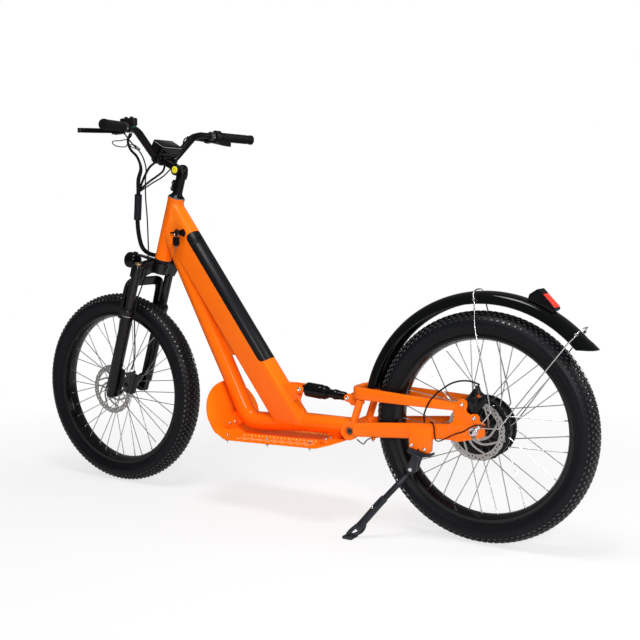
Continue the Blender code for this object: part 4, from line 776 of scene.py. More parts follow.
headset()
swing_axle()


# Battery lock and keys
# A black cam lock sits in the down tube's left side, its dust cover swung back. One key is in the
# lock, and a second key hangs from it on a split ring.
MOULDED_BLACK = surfaced("moulded_black", (0.0024, 0.0024, 0.003), (0.0045, 0.0045, 0.005), 0.36,
                         0.06, 1500.0, 0.02, (0.03, 0.03, 0.032), 0.12, 0.005, shine=0.11)
BRASS = bare_metal("brass", (0.58, 0.43, 0.24), 0.28)


def by_lock(outline):
    """Outline moved from the lock's middle to where the lock is."""
    return [(LOCK[0] + a, LOCK[1] + b) for a, b in outline]


def battery_lock():
    outline = [(4.6, 30), (4.6, 38.5), (10.6, 38.5), (12.0, 37.2), (12.5, 36), (12.5, 34.9),
               (9, 34.8), (9, 21), (0, 21), (0, 30)]
    body = turned("lock_body", outline, (LOCK[0], 0, LOCK[1]), (0, 1, 0), 48)
    dress(body, BLACK_ANODISED, "frame", "black_metal", "lock_cylinder")
    flap = [(-13, 1), (-15, 9), (-34, 14), (-40, -2), (-35, -15), (-15, -7)]
    cover = round_edges(slab("lock_cover", eased(by_lock(flap), 6, 6, True), 35.6, 39.2), 1.0)
    dress(cover, MOULDED_BLACK, "frame", "black_plastic")


def keys():
    x, z = LOCK
    outline = by_lock([(-14, -3), (14, -3), (14, 3), (-14, 3)])
    bow = slab("key_bow", eased(outline, 2.6, 4, True), 41.5, 58.5)
    corner = slab("bow_outline", eased([(x - 6, 41), (x + 6, 41), (x + 14, 46), (x + 12, 58),
                                        (x - 12, 58), (x - 14, 46)], 3, 6, True), z - 8, z + 8, "XY")
    trim(bow, corner)
    cut(bow, rod("key_hole", (x - 8.5, 54.4, z - 25), (x - 8.5, 54.4, z + 25), 2.0))
    dress(round_edges(bow, 0.8), MOULDED_BLACK, "key_turn_body", "black_plastic", "key")
    plug = turned("key_plug", [(0, 30.4), (4.2, 30.4), (4.2, 37.2), (3.8, 37.9), (0, 37.9)],
                  (x, 0, z), (0, 1, 0), 32)
    blade = round_edges(block("key_blade", (x, 41, z), (7.4, 8, 1.8)), 0.3)
    dress(gather("key_plug_and_blade", [plug, blade]), BRASS, "key_turn_body", "silver_steel")
    turns = [2 * math.pi * k / 40 for k in range(40)]
    ring = [(x - 8.5, 48.6 + 9.5 * math.cos(a), z - 6.5 + 9.5 * math.sin(a)) for a in turns]
    loop = sweep("split_ring", ring, 0.8, 10, closed=True)
    teeth = [(-12, -44), (-2, -44), (-2, -78), (-4.5, -81), (-4.5, -74), (-6, -70), (-4.5, -66),
             (-6.5, -61), (-5, -56), (-12, -50)]
    steel = gather("spare_key_steel", [loop, slab("spare_blade", by_lock(teeth), 48.3, 49.9)])
    dress(steel, STAINLESS, "key_turn_body", "silver_steel")
    outline = by_lock([(-21, -14), (5, -14), (6, -38), (1, -46), (-16, -46), (-22, -38)])
    grip = slab("spare_key_bow", eased(outline, 4, 5, True), 46.2, 52)
    cut(grip, rod("ring_hole", (x - 8.5, 40, z - 17.5), (x - 8.5, 60, z - 17.5), 2.6))
    dress(round_edges(grip, 1.0), MOULDED_BLACK, "key_turn_body", "black_plastic")


battery_lock()
keys()


# Battery
# A satin black extruded case with a moulded cap fills the back of the down tube. It slides out
# rearwards once the lock is open, and its top end has a finger pull and a small charge window.
SATIN_CASE = surfaced("satin_case", (0.002, 0.0024, 0.0032), (0.0032, 0.004, 0.0052), 0.4, 0.04,
                      1800.0, 0.012, (0.02, 0.02, 0.023), 0.12, 0.004, shine=0.2)
SCREEN_GLASS = surfaced("screen_glass", (0.004, 0.005, 0.005), (0.006, 0.007, 0.007), 0.08, 0.02,
                        200.0, 0.002, (0.02, 0.02, 0.02), 0.3, 0.008, shine=0.4)


def battery():
    levels = [(426, 0), (913.1, 0), (913.6, -0.8), (914.4, -0.8), (914.9, 0), (966, 0)]
    case = skin("case", [[(u, y, w) for u, y in down_section(grow)] for w, grow in levels], DOWN)
    trim(case, slab("case_outline", battery_outline(0.0), -60, 60, place=DOWN))
    cut(case, round_edges(block("pull", (-268, 0, 930), (16, 34, 12), DOWN), 3, 3))
    join(case, round_edges(block("tongue", (-226, 0, 696), (29, 60, 500), DOWN), 3))
    case.name = "battery_shell"
    dress(round_edges(case, 0.5, 2, 40), SATIN_CASE, "battery", "battery_black", "battery_case")
    window = round_edges(block("charge_window", (-267.3, 0, 895), (2.4, 16, 7), DOWN), 0.6)
    dress(window, SCREEN_GLASS, "battery", "screen_glass")


battery()


# Fork crown and stanchions
# A forged crown with a pressed-in steerer clamps two anodised stanchions. It is sprayed black, and
# a strap on its front carries the headlight. The left leg's top cap is brass coloured.
LEG_Y = 91.0
LEG_X = 30.0
GLOSS_FORK = surfaced("fork_gloss_black", (0.001, 0.001, 0.0014), (0.0022, 0.0022, 0.003), 0.17,
                      0.05, 600.0, 0.012, (0.03, 0.03, 0.034), 0.12, 0.003, shine=0.3)
POLISHED_BLACK = surfaced("stanchion_black", (0.002, 0.002, 0.0026), (0.004, 0.004, 0.005), 0.14,
                          0.03, 1400.0, 0.004, (0.03, 0.03, 0.034), 0.2, 0.003, shine=0.34)


def fork_crown():
    arch = eased([(-106, 468), (-93, 490), (-60, 500), (-26, 506.3), (26, 506.3), (60, 500),
                  (93, 490), (106, 468), (97, 448), (72, 446), (60, 457), (38, 465), (-38, 465),
                  (-60, 457), (-72, 446), (-97, 448)],
                 [8, 12, 30, 0, 0, 30, 12, 8, 8, 8, 14, 30, 30, 14, 8, 8], 6, True)
    bridge = round_edges(slab("crown", arch, 6, 46, "YZ", STEERING), 4.0, 4, 50)
    neck = [(0, 467), (26, 467), (26, 505), (25, 506.5), (0, 506.5)]
    socket = [(0, 446), (20.5, 446), (21.5, 447), (21.5, 480), (20.5, 485), (18, 490), (14, 492.6),
              (0, 493.4)]
    parts = [turned("neck", neck, sides=56, place=STEERING),
             rod("column", (0, 0, 480), (0, 0, 800), 14.3, 40, STEERING)]
    bores = []
    for side in (-1, 1):
        spot = (LEG_X, side * LEG_Y, 0)
        parts.append(turned("socket", socket, spot, sides=48, place=STEERING))
        bores.append(rod("bore", (LEG_X, side * LEG_Y, 440), (LEG_X, side * LEG_Y, 482), 15.8, 40,
                         STEERING))
    parts.append(slab("lamp_strap", [(30, 500), (118, 497), (118, 501), (30, 510)], -11, 11,
                      place=STEERING))
    join(bridge, *parts)
    cut(bridge, *bores)
    dress(bridge, GLOSS_FORK, "steering", "black_paint", "fork_crown")


def stanchions():
    tube = [(0, 118), (14.6, 118), (15.3, 119), (15.3, 481), (0, 481)]
    cap = [(0, 492), (12, 492), (12.5, 493), (12.5, 496), (11, 498), (6, 498), (6, 496), (0, 496)]
    knob = [(0, 492), (14, 492), (14.6, 494), (14, 500), (11, 503), (0, 504)]
    for side, name in ((-1, "stanchion_right"), (1, "stanchion_left")):
        bar = turned(name + "_tube", tube, (LEG_X, side * LEG_Y, 0), sides=56, place=STEERING)
        dress(bar, POLISHED_BLACK, "steering", "black_metal", name)
    for side, name, outline, finish, slot in (
            (1, "leg_cap_left", cap, BRASS, "silver_steel"),
            (-1, "lockout_knob", knob, BLACK_ANODISED, "black_metal")):
        top = turned(name, outline, (LEG_X, side * LEG_Y, 0), sides=36, place=STEERING)
        dress(top, finish, "steering", slot)


fork_crown()
stanchions()


# Headlight
# A small gloss black lamp with a clear domed front. It stands on the crown's strap by its foot.
LAMP_AT = (650.0, 0.0, 823.0)
LAMP_ALONG = (1, 0, 0.12)
GLOSS_SHELL = surfaced("gloss_shell", (0.0014, 0.0014, 0.0018), (0.003, 0.003, 0.0036), 0.12, 0.03,
                       400.0, 0.006, (0.02, 0.02, 0.02), 0.2, 0.004, shine=0.2)


def clear_plastic(name, colour, ripple):
    material, tree, shader = blank_finish(name, Transmission_Weight=0.85, IOR=1.49)
    relief = use(tree, FINE_GRAIN, Grain_Scale=ripple, Cloud_Scale=30.0)
    light = tuple(min(1.0, c * 1.06) for c in colour)
    tinted = blended(tree, colour, light, relief.outputs["Shade"])
    tree.links.new(tinted, shader.inputs["Base Color"])
    roughened(tree, shader, relief.outputs["Shade"], 0.02, 0.08)
    return material


CLEAR_LENS = clear_plastic("clear_lens", (0.86, 0.88, 0.9), 120.0)


def headlight():
    shell = [(0, -22), (10, -21.8), (16, -20.8), (21.5, -18.4), (25, -14.6), (27.4, -9.5),
             (28.5, -3.5), (28.5, 8), (28.9, 9), (28.9, 20), (28.2, 22), (26.8, 23.2), (25.6, 22.6),
             (24.8, 19), (0, 18)]
    body = turned("lamp_shell", shell, LAMP_AT, LAMP_ALONG, 64)
    foot = [(0, 0), (9, 0), (9, 13), (8, 15), (0, 15)]
    join(body, turned("lamp_foot", foot, (643.6, 0, 839), (-0.36, 0, 0.93), 32))
    cut(body, slab("strap_room", [(28, 499.7), (120, 496.7), (120, 520), (28, 520)],
                   -11.3, 11.3, place=STEERING))
    dress(body, GLOSS_SHELL, "steering", "black_plastic", "headlight_body")
    glass = [(0, 18.3), (24.4, 20.0), (24.6, 21.6), (20, 23.4), (12, 24.6), (0, 25)]
    dress(turned("lamp_glass", glass, LAMP_AT, LAMP_ALONG, 64), CLEAR_LENS, "steering", "lamp_clear",
          "headlight_lens")


headlight()


# Stem post and folding arm
# A black anodised tube clamps the steerer and ends in a hinge knuckle. The arm tilts on a bolt
# with a yellow cap, and its end holds the bar under a four-bolt plate.
HINGE_FORWARD = 13.2
HINGE_HEIGHT = 843.4
ARM = leaning((428.02, 0, 1143.01), -29.0)
CLAMP = 76.5
YELLOW_CAP = surfaced("yellow_cap", (0.8, 0.62, 0.01), (0.85, 0.7, 0.02), 0.34, 0.05, 900.0, 0.02,
                      (0.9, 0.8, 0.15), 0.15, 0.02)


def stem_post():
    profile = [(14.6, 746.2), (28.2, 746.2), (29, 747), (29, 749.5), (27, 752), (22, 756.6), (19, 759.6),
               (17.4, 764), (17, 770), (17, 836), (16, 844), (13.5, 851), (8, 856.6), (0, 858),
               (0, 802), (14.6, 802)]
    post = turned("stem_post_tube", profile, sides=56, place=STEERING)
    knuckle = turned("knuckle", [(0, -25), (18.6, -25), (19.5, -24), (19.5, 24), (18.6, 25), (0, 25)],
                     (HINGE_FORWARD, 0, HINGE_HEIGHT), (0, 1, 0), 56, STEERING)
    back = eased([(-16, 812), (20, 826), (26, 843), (8, 862), (-9, 856), (-17, 838)], 8, 6, True)
    heel = round_edges(slab("heel", back, -17, 17, "XZ", STEERING), 5, 4, 40)
    clamp = round_edges(block("clamp", (20.5, 0, 786), (10, 22, 40), STEERING), 2.5, 3)
    join(post, knuckle, heel, clamp)
    slot = block("slot", (HINGE_FORWARD + 11, 0, HINGE_HEIGHT + 8), (62, 25.2, 60), STEERING)
    bore = crosswise("bore", (HINGE_FORWARD, HINGE_HEIGHT), -30, 30, 5.3, place=STEERING)
    slit = block("slit", (21, 0, 772), (14, 1.6, 60), STEERING)
    cut(post, slot, bore, slit)
    dress(post, BLACK_ANODISED, "steering", "black_metal", "stem_post")
    bolts = []
    for h in (776, 795):
        bolts.append(rod("bolt", (21.5, -14, h), (21.5, 11, h), 2.6, 16, STEERING))
        bolts.append(screw((21.5, 11, h), (0, 1, 0), 4.4, 4.2, place=STEERING))
    dress(gather("stem_clamp_bolts", bolts), DARK_STEEL, "steering", "black_metal")
    ring = turned("preload_ring", [(29.2, 746.1), (30.2, 746.4), (30.2, 748.4), (29.2, 749)],
                  sides=56, place=STEERING)
    dress(ring, DARK_STEEL, "steering", "black_metal")


def hinge():
    cap = [(0, 25.4), (11.4, 25.4), (12, 26), (12, 27.4), (11, 28.6), (9.4, 29), (4.4, 29),
           (4.0, 27.6, "hex"), (0, 27.4)]
    dress(turned("hinge_cap", cap, (0, 0, 0), (0, 1, 0), 48, ARM), YELLOW_CAP, "steering",
          "cap_yellow", "hinge_bolt")
    shaft = crosswise("hinge_shaft", (0, 0), -32, 27, 5, 24, ARM)
    nut = hex_nut((0, -25.4, 0), (0, -1, 0), 9, 5.6, 3, ARM)
    dress(gather("hinge_shaft_and_nut", [shaft, nut]), DARK_STEEL, "steering", "silver_steel")


def bar_bite(back):
    """What a half of the bar clamp loses: the half space behind or ahead of it, and the bar."""
    return [block("half", (CLAMP + back, 0, 0), (50, 60, 60), ARM),
            crosswise("bar", (CLAMP, 0), -40, 40, 13.3, 40, ARM)]


def stem_arm():
    barrel = turned("barrel", drum(17, 12.2, 0.6), (0, 0, 0), (0, 1, 0), 56, ARM)
    sides = [(1, 11.7), (24, 11.7), (52, 19.3), (75, 19.3)]
    outline = eased([(a, -b) for a, b in sides] + list(reversed(sides)), [0, 20, 20, 0, 0, 20, 20, 0],
                    6, True)
    beam = round_edges(slab("beam", outline, -12.3, 12.3, "XY", ARM), 4, 4, 50)
    clamp = turned("clamp_half", drum(20, 20, 0.8), (CLAMP, 0, 0), (0, 1, 0), 56, ARM)
    join(barrel, beam, clamp)
    bore = crosswise("bore", (0, 0), -30, 30, 5.3, place=ARM)
    cut(barrel, *bar_bite(25.5), bore)
    dress(barrel, BLACK_ANODISED, "bars", "black_metal", "stem_arm")
    face = turned("face", drum(20, 20, 0.8), (CLAMP, 0, 0), (0, 1, 0), 56, ARM)
    window = round_edges(block("window", (CLAMP + 20, 0, 0), (20, 14, 16), ARM), 3, 3)
    cut(face, *bar_bite(-23.8), window)
    dress(face, BLACK_ANODISED, "bars", "black_metal", "stem_faceplate")
    heads = [screw((CLAMP + 9.4, y, z), (1, 0, 0), 3.6, 4.6, place=ARM)
             for y in (-12, 12) for z in (-16.5, 16.5)]
    dress(gather("faceplate_screws", heads), DARK_STEEL, "bars", "black_metal")


stem_post()
hinge()
stem_arm()


# Handlebar and grips
# A butted aluminium riser bar, anodised black. The rubber grips have a ribbed middle between two
# plain flanges and a moulded end cap.
BAR_HALF = [(495, 0, 1180), (495, 34, 1180), (491, 56, 1190), (484, 148, 1268), (476.8, 184, 1277.8),
            (450, 260, 1275), (402, 396, 1270)]
GRIP_INNER = Vector((450.0, 260.0, 1275.0))
GRIP_OUTER = Vector((402.0, 396.0, 1270.0))
GRIP_RUBBER = surfaced("grip_rubber", (0.0026, 0.0027, 0.003), (0.0045, 0.0046, 0.005), 0.52, 0.08,
                       2200.0, 0.05, (0.02, 0.02, 0.02), 0.2, 0.006, shine=0.1)


def bar_path(steps=10):
    half = eased(BAR_HALF, [0, 0, 60, 60, 0, 0, 0], steps)
    return [(x, -y, z) for x, y, z in reversed(half)][:-1] + half


def along_bar(run, side=1):
    """Point on the grip part of a bar end, run millimetres out from y = 260."""
    spot = GRIP_INNER + (GRIP_OUTER - GRIP_INNER).normalized() * run
    return Vector((spot[0], spot[1] * side, spot[2]))


def handlebar():
    path = bar_path()
    widths = []
    for spot in path:
        reach = min(1.0, max(0.0, (abs(spot[1]) - 130) / 60))
        swell = min(1.0, max(0.0, (abs(spot[1]) - 54) / 24))
        widths.append(12.7 + 1.3 * swell * (1 - reach) - 1.6 * reach)
    dress(sweep("riser_bar", path, widths, 40), BLACK_ANODISED, "bars", "black_metal", "handlebar")


def grip(name, side):
    start = along_bar(6, side)
    line = along_bar(100, side) - start
    profile = [(11.4, 2), (17.2, 2), (17.8, 2.6), (17.8, 6.4), (17.2, 7), (16.3, 8)]
    for k in range(24):
        low = 14 + k * 4.4
        profile += [(16.3, low), (16.9, low + 0.6), (16.9, low + 2.2), (16.3, low + 2.8),
                    (15.7, low + 3.2)]
    profile += [(16.3, 126), (17.2, 129), (17.8, 131), (17.8, 140.8), (16.6, 142), (3.2, 142),
                (2.6, 140), (0, 139.6), (0, 139), (11.4, 139)]
    rubber = turned(name + "_rubber", profile, start, line, 48)
    dress(rubber, GRIP_RUBBER, "bars", "grip_rubber", name, sharp=40)


handlebar()
grip("grip_left", 1)
grip("grip_right", -1)


# Brake perches and levers
# Each lever turns in a forked, cast perch that clamps the bar, with a barrel adjuster where the
# cable leaves. The blades are cast, sprayed satin black, and end in a ball.
SATIN_CAST = surfaced("satin_cast", (0.0022, 0.0023, 0.0028), (0.0045, 0.0048, 0.0056), 0.26, 0.06,
                      900.0, 0.03, (0.07, 0.07, 0.076), 0.12, 0.006, shine=0.17)


def lever_pivot(side):
    return Vector((492.0, side * 246.0, 1263.0))


def bar_ring(name, side, low, high, outer, sides=48):
    return rod(name, along_bar(low, side), along_bar(high, side), outer, sides)


def bar_hole(side):
    return bar_ring("bar_hole", side, -60, 30, 12.0)


def brake_perch(name, side, low, high):
    ring = round_edges(bar_ring("perch_ring", side, low, high, 16.5), 1.2)
    middle = along_bar((low + high) / 2, side)
    pivot = lever_pivot(side)
    outline = [(middle[0], middle[1] - 8), (pivot[0] - 4, pivot[1] - 15),
               (pivot[0] + 12, pivot[1] - 12), (pivot[0] + 12, pivot[1] + 12),
               (pivot[0] - 4, pivot[1] + 15), (middle[0], middle[1] + 8)]
    arm = slab("perch_arm", eased(outline, [0, 8, 9, 9, 8, 0], 6, True), 1253, 1275, "XY")
    round_edges(arm, 2.5, 3, 50)
    start = (pivot[0] + 6, pivot[1] - side * 6, 1266)
    barrel = sweep("perch_barrel", [start, (510, side * 210, 1268), (530, side * 172, 1270)],
                   [9.5, 8.4, 6.5], 32)
    join(ring, arm, barrel)
    slot = block("lever_slot", (pivot[0] + 12, pivot[1] + side * 14, 1263), (58, 54, 12.6))
    pin = rod("pin_hole", (pivot[0], pivot[1], 1240), (pivot[0], pivot[1], 1290), 3.3)
    rooms = [bar_ring("room", side, low - 60, low + 0.4, 30),
             bar_ring("room", side, high - 0.4, high + 60, 30)]
    cut(ring, slot, pin, bar_hole(side), *rooms)
    ring.name = name + "_casting"
    dress(ring, SATIN_CAST, "bars", "black_metal", name)
    line = Vector((530 - start[0], side * 172 - start[1], 4))
    outline = [(0, 33), (6.9, 33), (7.6, 34)]
    for k in range(5):
        outline += [(7.6, 35 + k * 2), (7.0, 36 + k * 2)]
    outline += [(6.4, 46), (4.2, 48), (3.2, line.length), (0, line.length)]
    adjuster = turned(name + "_adjuster", outline, start, line, 36)
    dress(adjuster, BLACK_ANODISED, "bars", "black_metal")
    bolt = along_bar((low + high) / 2, side) + Vector((-15.5, 0, -4))
    dress(gather(name + "_clamp_screw", [screw(tuple(bolt), (0, 0, -1), 3.6, 3.4, shank=8)]),
          STAINLESS, "bars", "silver_steel")


def brake_lever(name, side, body):
    pivot = lever_pivot(side)
    outline = eased([(-7, -6), (8, -8), (12, 4), (9, 20), (8, 44), (14, 90), (20, 140), (19, 152),
                     (12, 156), (7, 150), (4, 138), (-2, 90), (-8, 44), (-8, 20)],
                    [5, 5, 6, 12, 30, 60, 10, 6, 5, 6, 30, 60, 30, 10], 6, True)
    spots = [(pivot[0] + x, pivot[1] + side * y) for x, y in outline]
    blade = slab("blade", spots, 1257, 1269, "XY")
    tip = turned("tip", [(0, 1257), (8, 1257), (8, 1269), (0, 1269)],
                 (pivot[0] + 14, pivot[1] + side * 150, 0), sides=32)
    join(blade, tip)
    for corner in blade.data.vertices:
        share = min(1.0, max(0.0, (abs(corner.co[1]) - 0.262) / 0.035))
        drop = max(0.0, abs(corner.co[1]) - 0.262) * 0.045
        corner.co[2] += (corner.co[2] - 1.263) * 0.22 * share - drop
    round_edges(blade, 3.6, 4, 50)
    blade.name = name + "_blade"
    dress(blade, SATIN_CAST, body, "black_metal", name)
    pin = turned(name + "_pin", [(0, 1251), (3, 1251), (3, 1276), (2.6, 1277), (0, 1278)],
                 (pivot[0], pivot[1], 0), sides=24)
    dress(pin, STAINLESS, body, "silver_steel")


brake_perch("brake_perch_left", 1, -22, -4)
brake_perch("brake_perch_right", -1, -42, -24)
brake_lever("brake_lever_left", 1, "lever_left")
brake_lever("brake_lever_right", -1, "lever_right")


# Switch pod
# A moulded two-part pod on the left bar carries the horn and light push buttons, each in its own
# well. The line between its halves and a plain teal mark show on it.


def switch_pod():
    ring = round_edges(bar_ring("pod_ring", 1, -49, -28, 17), 1.0)
    box = round_edges(block("pod_box", (455, 224, 1293), (62, 22, 26)), 5, 4)
    join(ring, box)
    wells = [rod("well", (x, 224, 1300), (x, 224, 1320), 6.4) for x in (442, 466)]
    split = block("pod_split", (455, 224, 1288.4), (70, 40, 0.7))
    cut(split, block("pod_core", (455, 224, 1288.4), (60.6, 20.6, 4)))
    cut(ring, *wells, split, bar_hole(1))
    ring.name = "switch_pod_shell"
    dress(ring, MOULDED_BLACK, "bars", "black_plastic", "switch_pod")
    for name, body, x in (("horn_button", "horn", 442), ("light_button", "light_switch", 466)):
        profile = [(0, 1302.3), (6, 1302.3), (6, 1308.4), (5.6, 1309.6), (4.6, 1310.5), (2, 1310.9),
                   (0, 1311)]
        dress(turned(name + "_cap", profile, (x, 224, 0), sides=32), GLOSS_SHELL, body, "gloss_black",
              name)
    mark = sweep("pod_mark", [(428, 217, 1279.4), (440, 217, 1278.6), (449, 217, 1278.8)], 1.9, 12)
    dress(mark, TEAL_MARK, "bars", "black_plastic")


TEAL_MARK = surfaced("teal_mark", (0.01, 0.24, 0.17), (0.015, 0.28, 0.2), 0.28, 0.04, 900.0,
                     0.01, (0.05, 0.35, 0.28), 0.2, 0.02)
switch_pod()


# Throttle
# A moulded ring on the right bar with a thumb paddle in its groove. The paddle has a ridged pad
# and springs back.


def throttle():
    def outline(rows):
        return turned("ring", rows, along_bar(-20, -1), along_bar(0, -1) - along_bar(-20, -1), 56)

    ring = outline([(12.0, 0), (21.8, 0), (23, 1.2), (23, 6.6), (17, 6.6), (17, 16.6), (23, 16.6),
                    (23, 20.3), (21.8, 21.5), (12.0, 21.5)])
    ring.name = "throttle_rings"
    dress(ring, MOULDED_BLACK, "bars", "black_plastic", "throttle_housing")
    band = outline([(17.4, 7.0), (21.4, 7.0), (22, 7.6), (22, 15.6), (21.4, 16.2), (17.4, 16.2)])
    middle = along_bar(-8.4, -1)
    back = Vector((-0.943, 0.333, 0.0))
    down = Vector((0.012, 0.033, -0.999))
    run = [tuple(middle + back * a + down * b) for a, b in ((12, 14), (17, 16), (22, 19), (29, 23),
                                                            (36, 27))]
    tongue = sweep("tongue", run, [3.6, 3.4, 3.2, 3.6, 4.0], 20)
    pad_at = middle + back * 36 + down * 29 + Vector((0, -6, 0))
    pad = round_edges(block("pad", tuple(pad_at), (20, 24, 7), slope=-30), 2.4, 3)
    ribs = []
    for k in range(5):
        spot = pad_at + Vector((-7 + 3.5 * k, 0, 3.2 + (-7 + 3.5 * k) * 0.577))
        ribs.append(sweep("rib", [tuple(spot + Vector((0, y, 0))) for y in (-9, 0, 9)], 0.8, 8))
    dress(gather("throttle_paddle_parts", [band, tongue, pad] + ribs), MOULDED_BLACK, "paddle",
          "black_plastic", "throttle_paddle")


throttle()


# Display
# A slanted gloss box with a glass front, on a mount whose two straps go round the bar's middle. A
# pale ring round its rim is a painted highlight on its edge, and a steel screw closes each strap.
DISPLAY = leaning((476.5, 0, 1239), -29.0)
# This pale grey is a painted highlight for the display's rim.
RIM_PAINTED_HIGHLIGHT = surfaced("rim_painted_highlight", (0.45, 0.46, 0.46), (0.5, 0.5, 0.5), 0.4, 0.05, 900.0, 0.01,
                     (0.6, 0.6, 0.6), 0.2, 0.05)


def display():
    body = round_edges(block("case", (0, 0, -15.5), (53.7, 100, 30), DISPLAY), 5, 5)
    strap = eased([(481, 1221), (494, 1214), (506, 1190), (506, 1176), (486, 1170), (480, 1186),
                   (474, 1208)], [0, 8, 8, 8, 8, 8, 0], 5, True)
    parts = []
    for side in (-1, 1):
        parts.append(round_edges(slab("strap", strap, side * 44 - 5, side * 44 + 5), 1))
        parts.append(rod("strap_ring", (494.6, side * 38.5, 1181), (492, side * 50, 1186), 17.5, 48))
    mount = [(474, 1207), (511, 1227), (516, 1218), (513, 1196), (501, 1189), (482, 1189)]
    parts.append(round_edges(slab("mount", mount, -46, 46), 1.5, 2))
    join(body, *parts)
    cut(body, rod("clamp_room", (495, -22, 1180), (495, 22, 1180), 21.2, 64))
    recess = round_edges(block("recess", (2, 0, 0), (40, 74, 6), DISPLAY), 1.0)
    cut(body, recess, sweep("bar_room", bar_path(6), 13.2, 32))
    body.name = "display_case"
    dress(body, GLOSS_SHELL, "bars", "gloss_black", "display_body")
    screen = round_edges(block("display_glass", (2, 0, -1.2), (39, 73, 3.4), DISPLAY), 0.8)
    dress(screen, SCREEN_GLASS, "bars", "screen_glass", "display_screen")
    # The pale ring round the rim is a painted highlight on the box's edge.
    rim = [(-23.2, -49.6), (23.2, -49.6), (26.4, -46), (26.4, 46), (23.2, 49.6), (-23.2, 49.6),
           (-26.4, 46), (-26.4, -46)]
    line = [(a, b, -6.0) for a, b in rim]
    seal = sweep("display_rim_highlight", eased(line, 2.5, 3, True), 0.8, 8, DISPLAY, closed=True)
    dress(seal, RIM_PAINTED_HIGHLIGHT, "bars", "screen_glass")
    heads = [screw((497, side * 49.4, 1206), (0, side, 0), 3.6, 3.0) for side in (-1, 1)]
    dress(gather("display_screws", heads), STAINLESS, "bars", "silver_steel")


display()


# Fork lowers
# One magnesium casting: two legs with dust seals, an arch over the tyre and flat dropouts. The
# disc caliper bolts to the left leg, and a nutted axle clamps the wheel.
AXLE_X = 56.0
FRONT_X = 718.3
WHEEL_RADIUS = 350.0
DISC_GAP = (53.6, 58.2)
DISC_ROOM = 93.0


def fork_lowers():
    leg = [(0, -14), (11, -14), (13.5, -13), (15, -10.5), (15.5, -8), (15.5, 14), (17, 20),
           (20, 25.5), (21.5, 30), (21.5, 306), (22, 309), (23, 311), (23, 322), (22, 323),
           (15.8, 323), (15.8, 48), (0, 48)]
    arch = eased([(-101, 282), (-101, 433), (101, 433), (101, 282), (76, 282), (70, 402),
                  (-70, 402), (-76, 282)], [0, 45, 45, 0, 0, 26, 26, 0], 10, True)
    foot = [(47.2, 290.6), (60, 286.4), (60, 318.6), (47.2, 306.2)]
    dropout = eased([(12, -10), (12, 50), (44, 52), (66, 22), (72, 6), (72, -8), (60, -16),
                     (28, -16)], 7, 5, True)
    legs = [turned("leg", leg, (LEG_X, side * LEG_Y, 0), sides=56, place=STEERING)
            for side in (-1, 1)]
    parts = [legs[1], round_edges(slab("lower_arch", arch, 52.6, 66.1, "YZ", STEERING), 3.4, 4, 50)]
    for side in (-1, 1):
        parts.append(slab("foot", foot, *sorted((side * 81.3, side * 98.1)), place=STEERING))
        plate = slab("dropout", dropout, *sorted((side * 67.8, side * 80)), place=STEERING)
        parts.append(round_edges(plate, 1.6, 3, 50))
    parts.append(slab("caliper_mount", [(2, 14), (16, 14), (16, 100), (2, 96)], 72, 84,
                      place=STEERING))
    lowers = join(legs[0], *parts)
    cuts = [crosswise("axle_slot", (AXLE_X, 0), -100, 100, 5.4, place=STEERING),
            block("axle_mouth", (AXLE_X, 0, -20), (10.4, 200, 40), STEERING)]
    for side in (-1, 1):
        dent = block("dent", (AXLE_X + 13, side * 58, 418), (6, 30, 10), STEERING)
        cuts.append(round_edges(dent, 2))
    cut(lowers, *cuts)
    lowers.name = "lower_legs"
    dress(lowers, GLOSS_FORK, "lowers", "black_paint", "fork_lowers")
    seal = [(15.4, 323.2), (21, 323.2), (21.4, 324), (20.4, 328), (16.2, 332), (15.4, 332)]
    band = [(21.6, 300.5), (22.4, 301), (22.4, 302.6), (21.6, 303)]
    for name, outline, finish, slot in (("dust_seals", seal, GRIP_RUBBER, "black_metal"),
                                        ("leg_bands", band, STAINLESS, "silver_steel")):
        rings = [turned("ring", outline, (LEG_X, side * LEG_Y, 0), sides=48, place=STEERING)
                 for side in (-1, 1)]
        dress(gather(name, rings), finish, "lowers", slot)


def nutted_axle(name, node, x, radius, outer, reach, body):
    """Axle with cones, washers and nuts; the washers bear on the dropouts' faces, outer away."""
    z = WHEEL_RADIUS
    washer = [(radius, 0), (radius * 1.9, 0), (radius * 1.9, 1.6), (radius, 1.6)]
    cone = [(radius, 0), (radius * 1.6, 0), (radius * 1.6, 5.5), (radius, 5.5)]
    tip = [(radius, 0), (radius * 0.95, 1.5), (radius * 0.7, 2.0), (0, 2.0)]
    pit = [(0, 0), (radius * 0.64, 0), (radius * 0.64, 0.25), (0, 0.25)]
    parts = [crosswise("axle", (x, z), -reach, reach, radius, 24)]
    pits = []
    for side in (-1, 1):
        out = (0, side, 0)
        parts.append(turned("washer", washer, (x, side * outer, z), out, 32))
        parts.append(hex_nut((x, side * (outer + 1.6), z), out, radius * 1.66, 7.4, radius))
        parts.append(turned("cone", cone, (x, side * (outer - 12.3), z), out, 24))
        parts.append(turned("tip", tip, (x, side * (reach - 0.2), z), out, 24))
        pits.append(turned("pit", pit, (x, side * (reach + 1.7), z), out, 24))
    dress(gather(name, parts), STAINLESS, body, "silver_steel", node)
    dress(gather(name + "_centres", pits), BLACK_ANODISED, body, "black_metal")


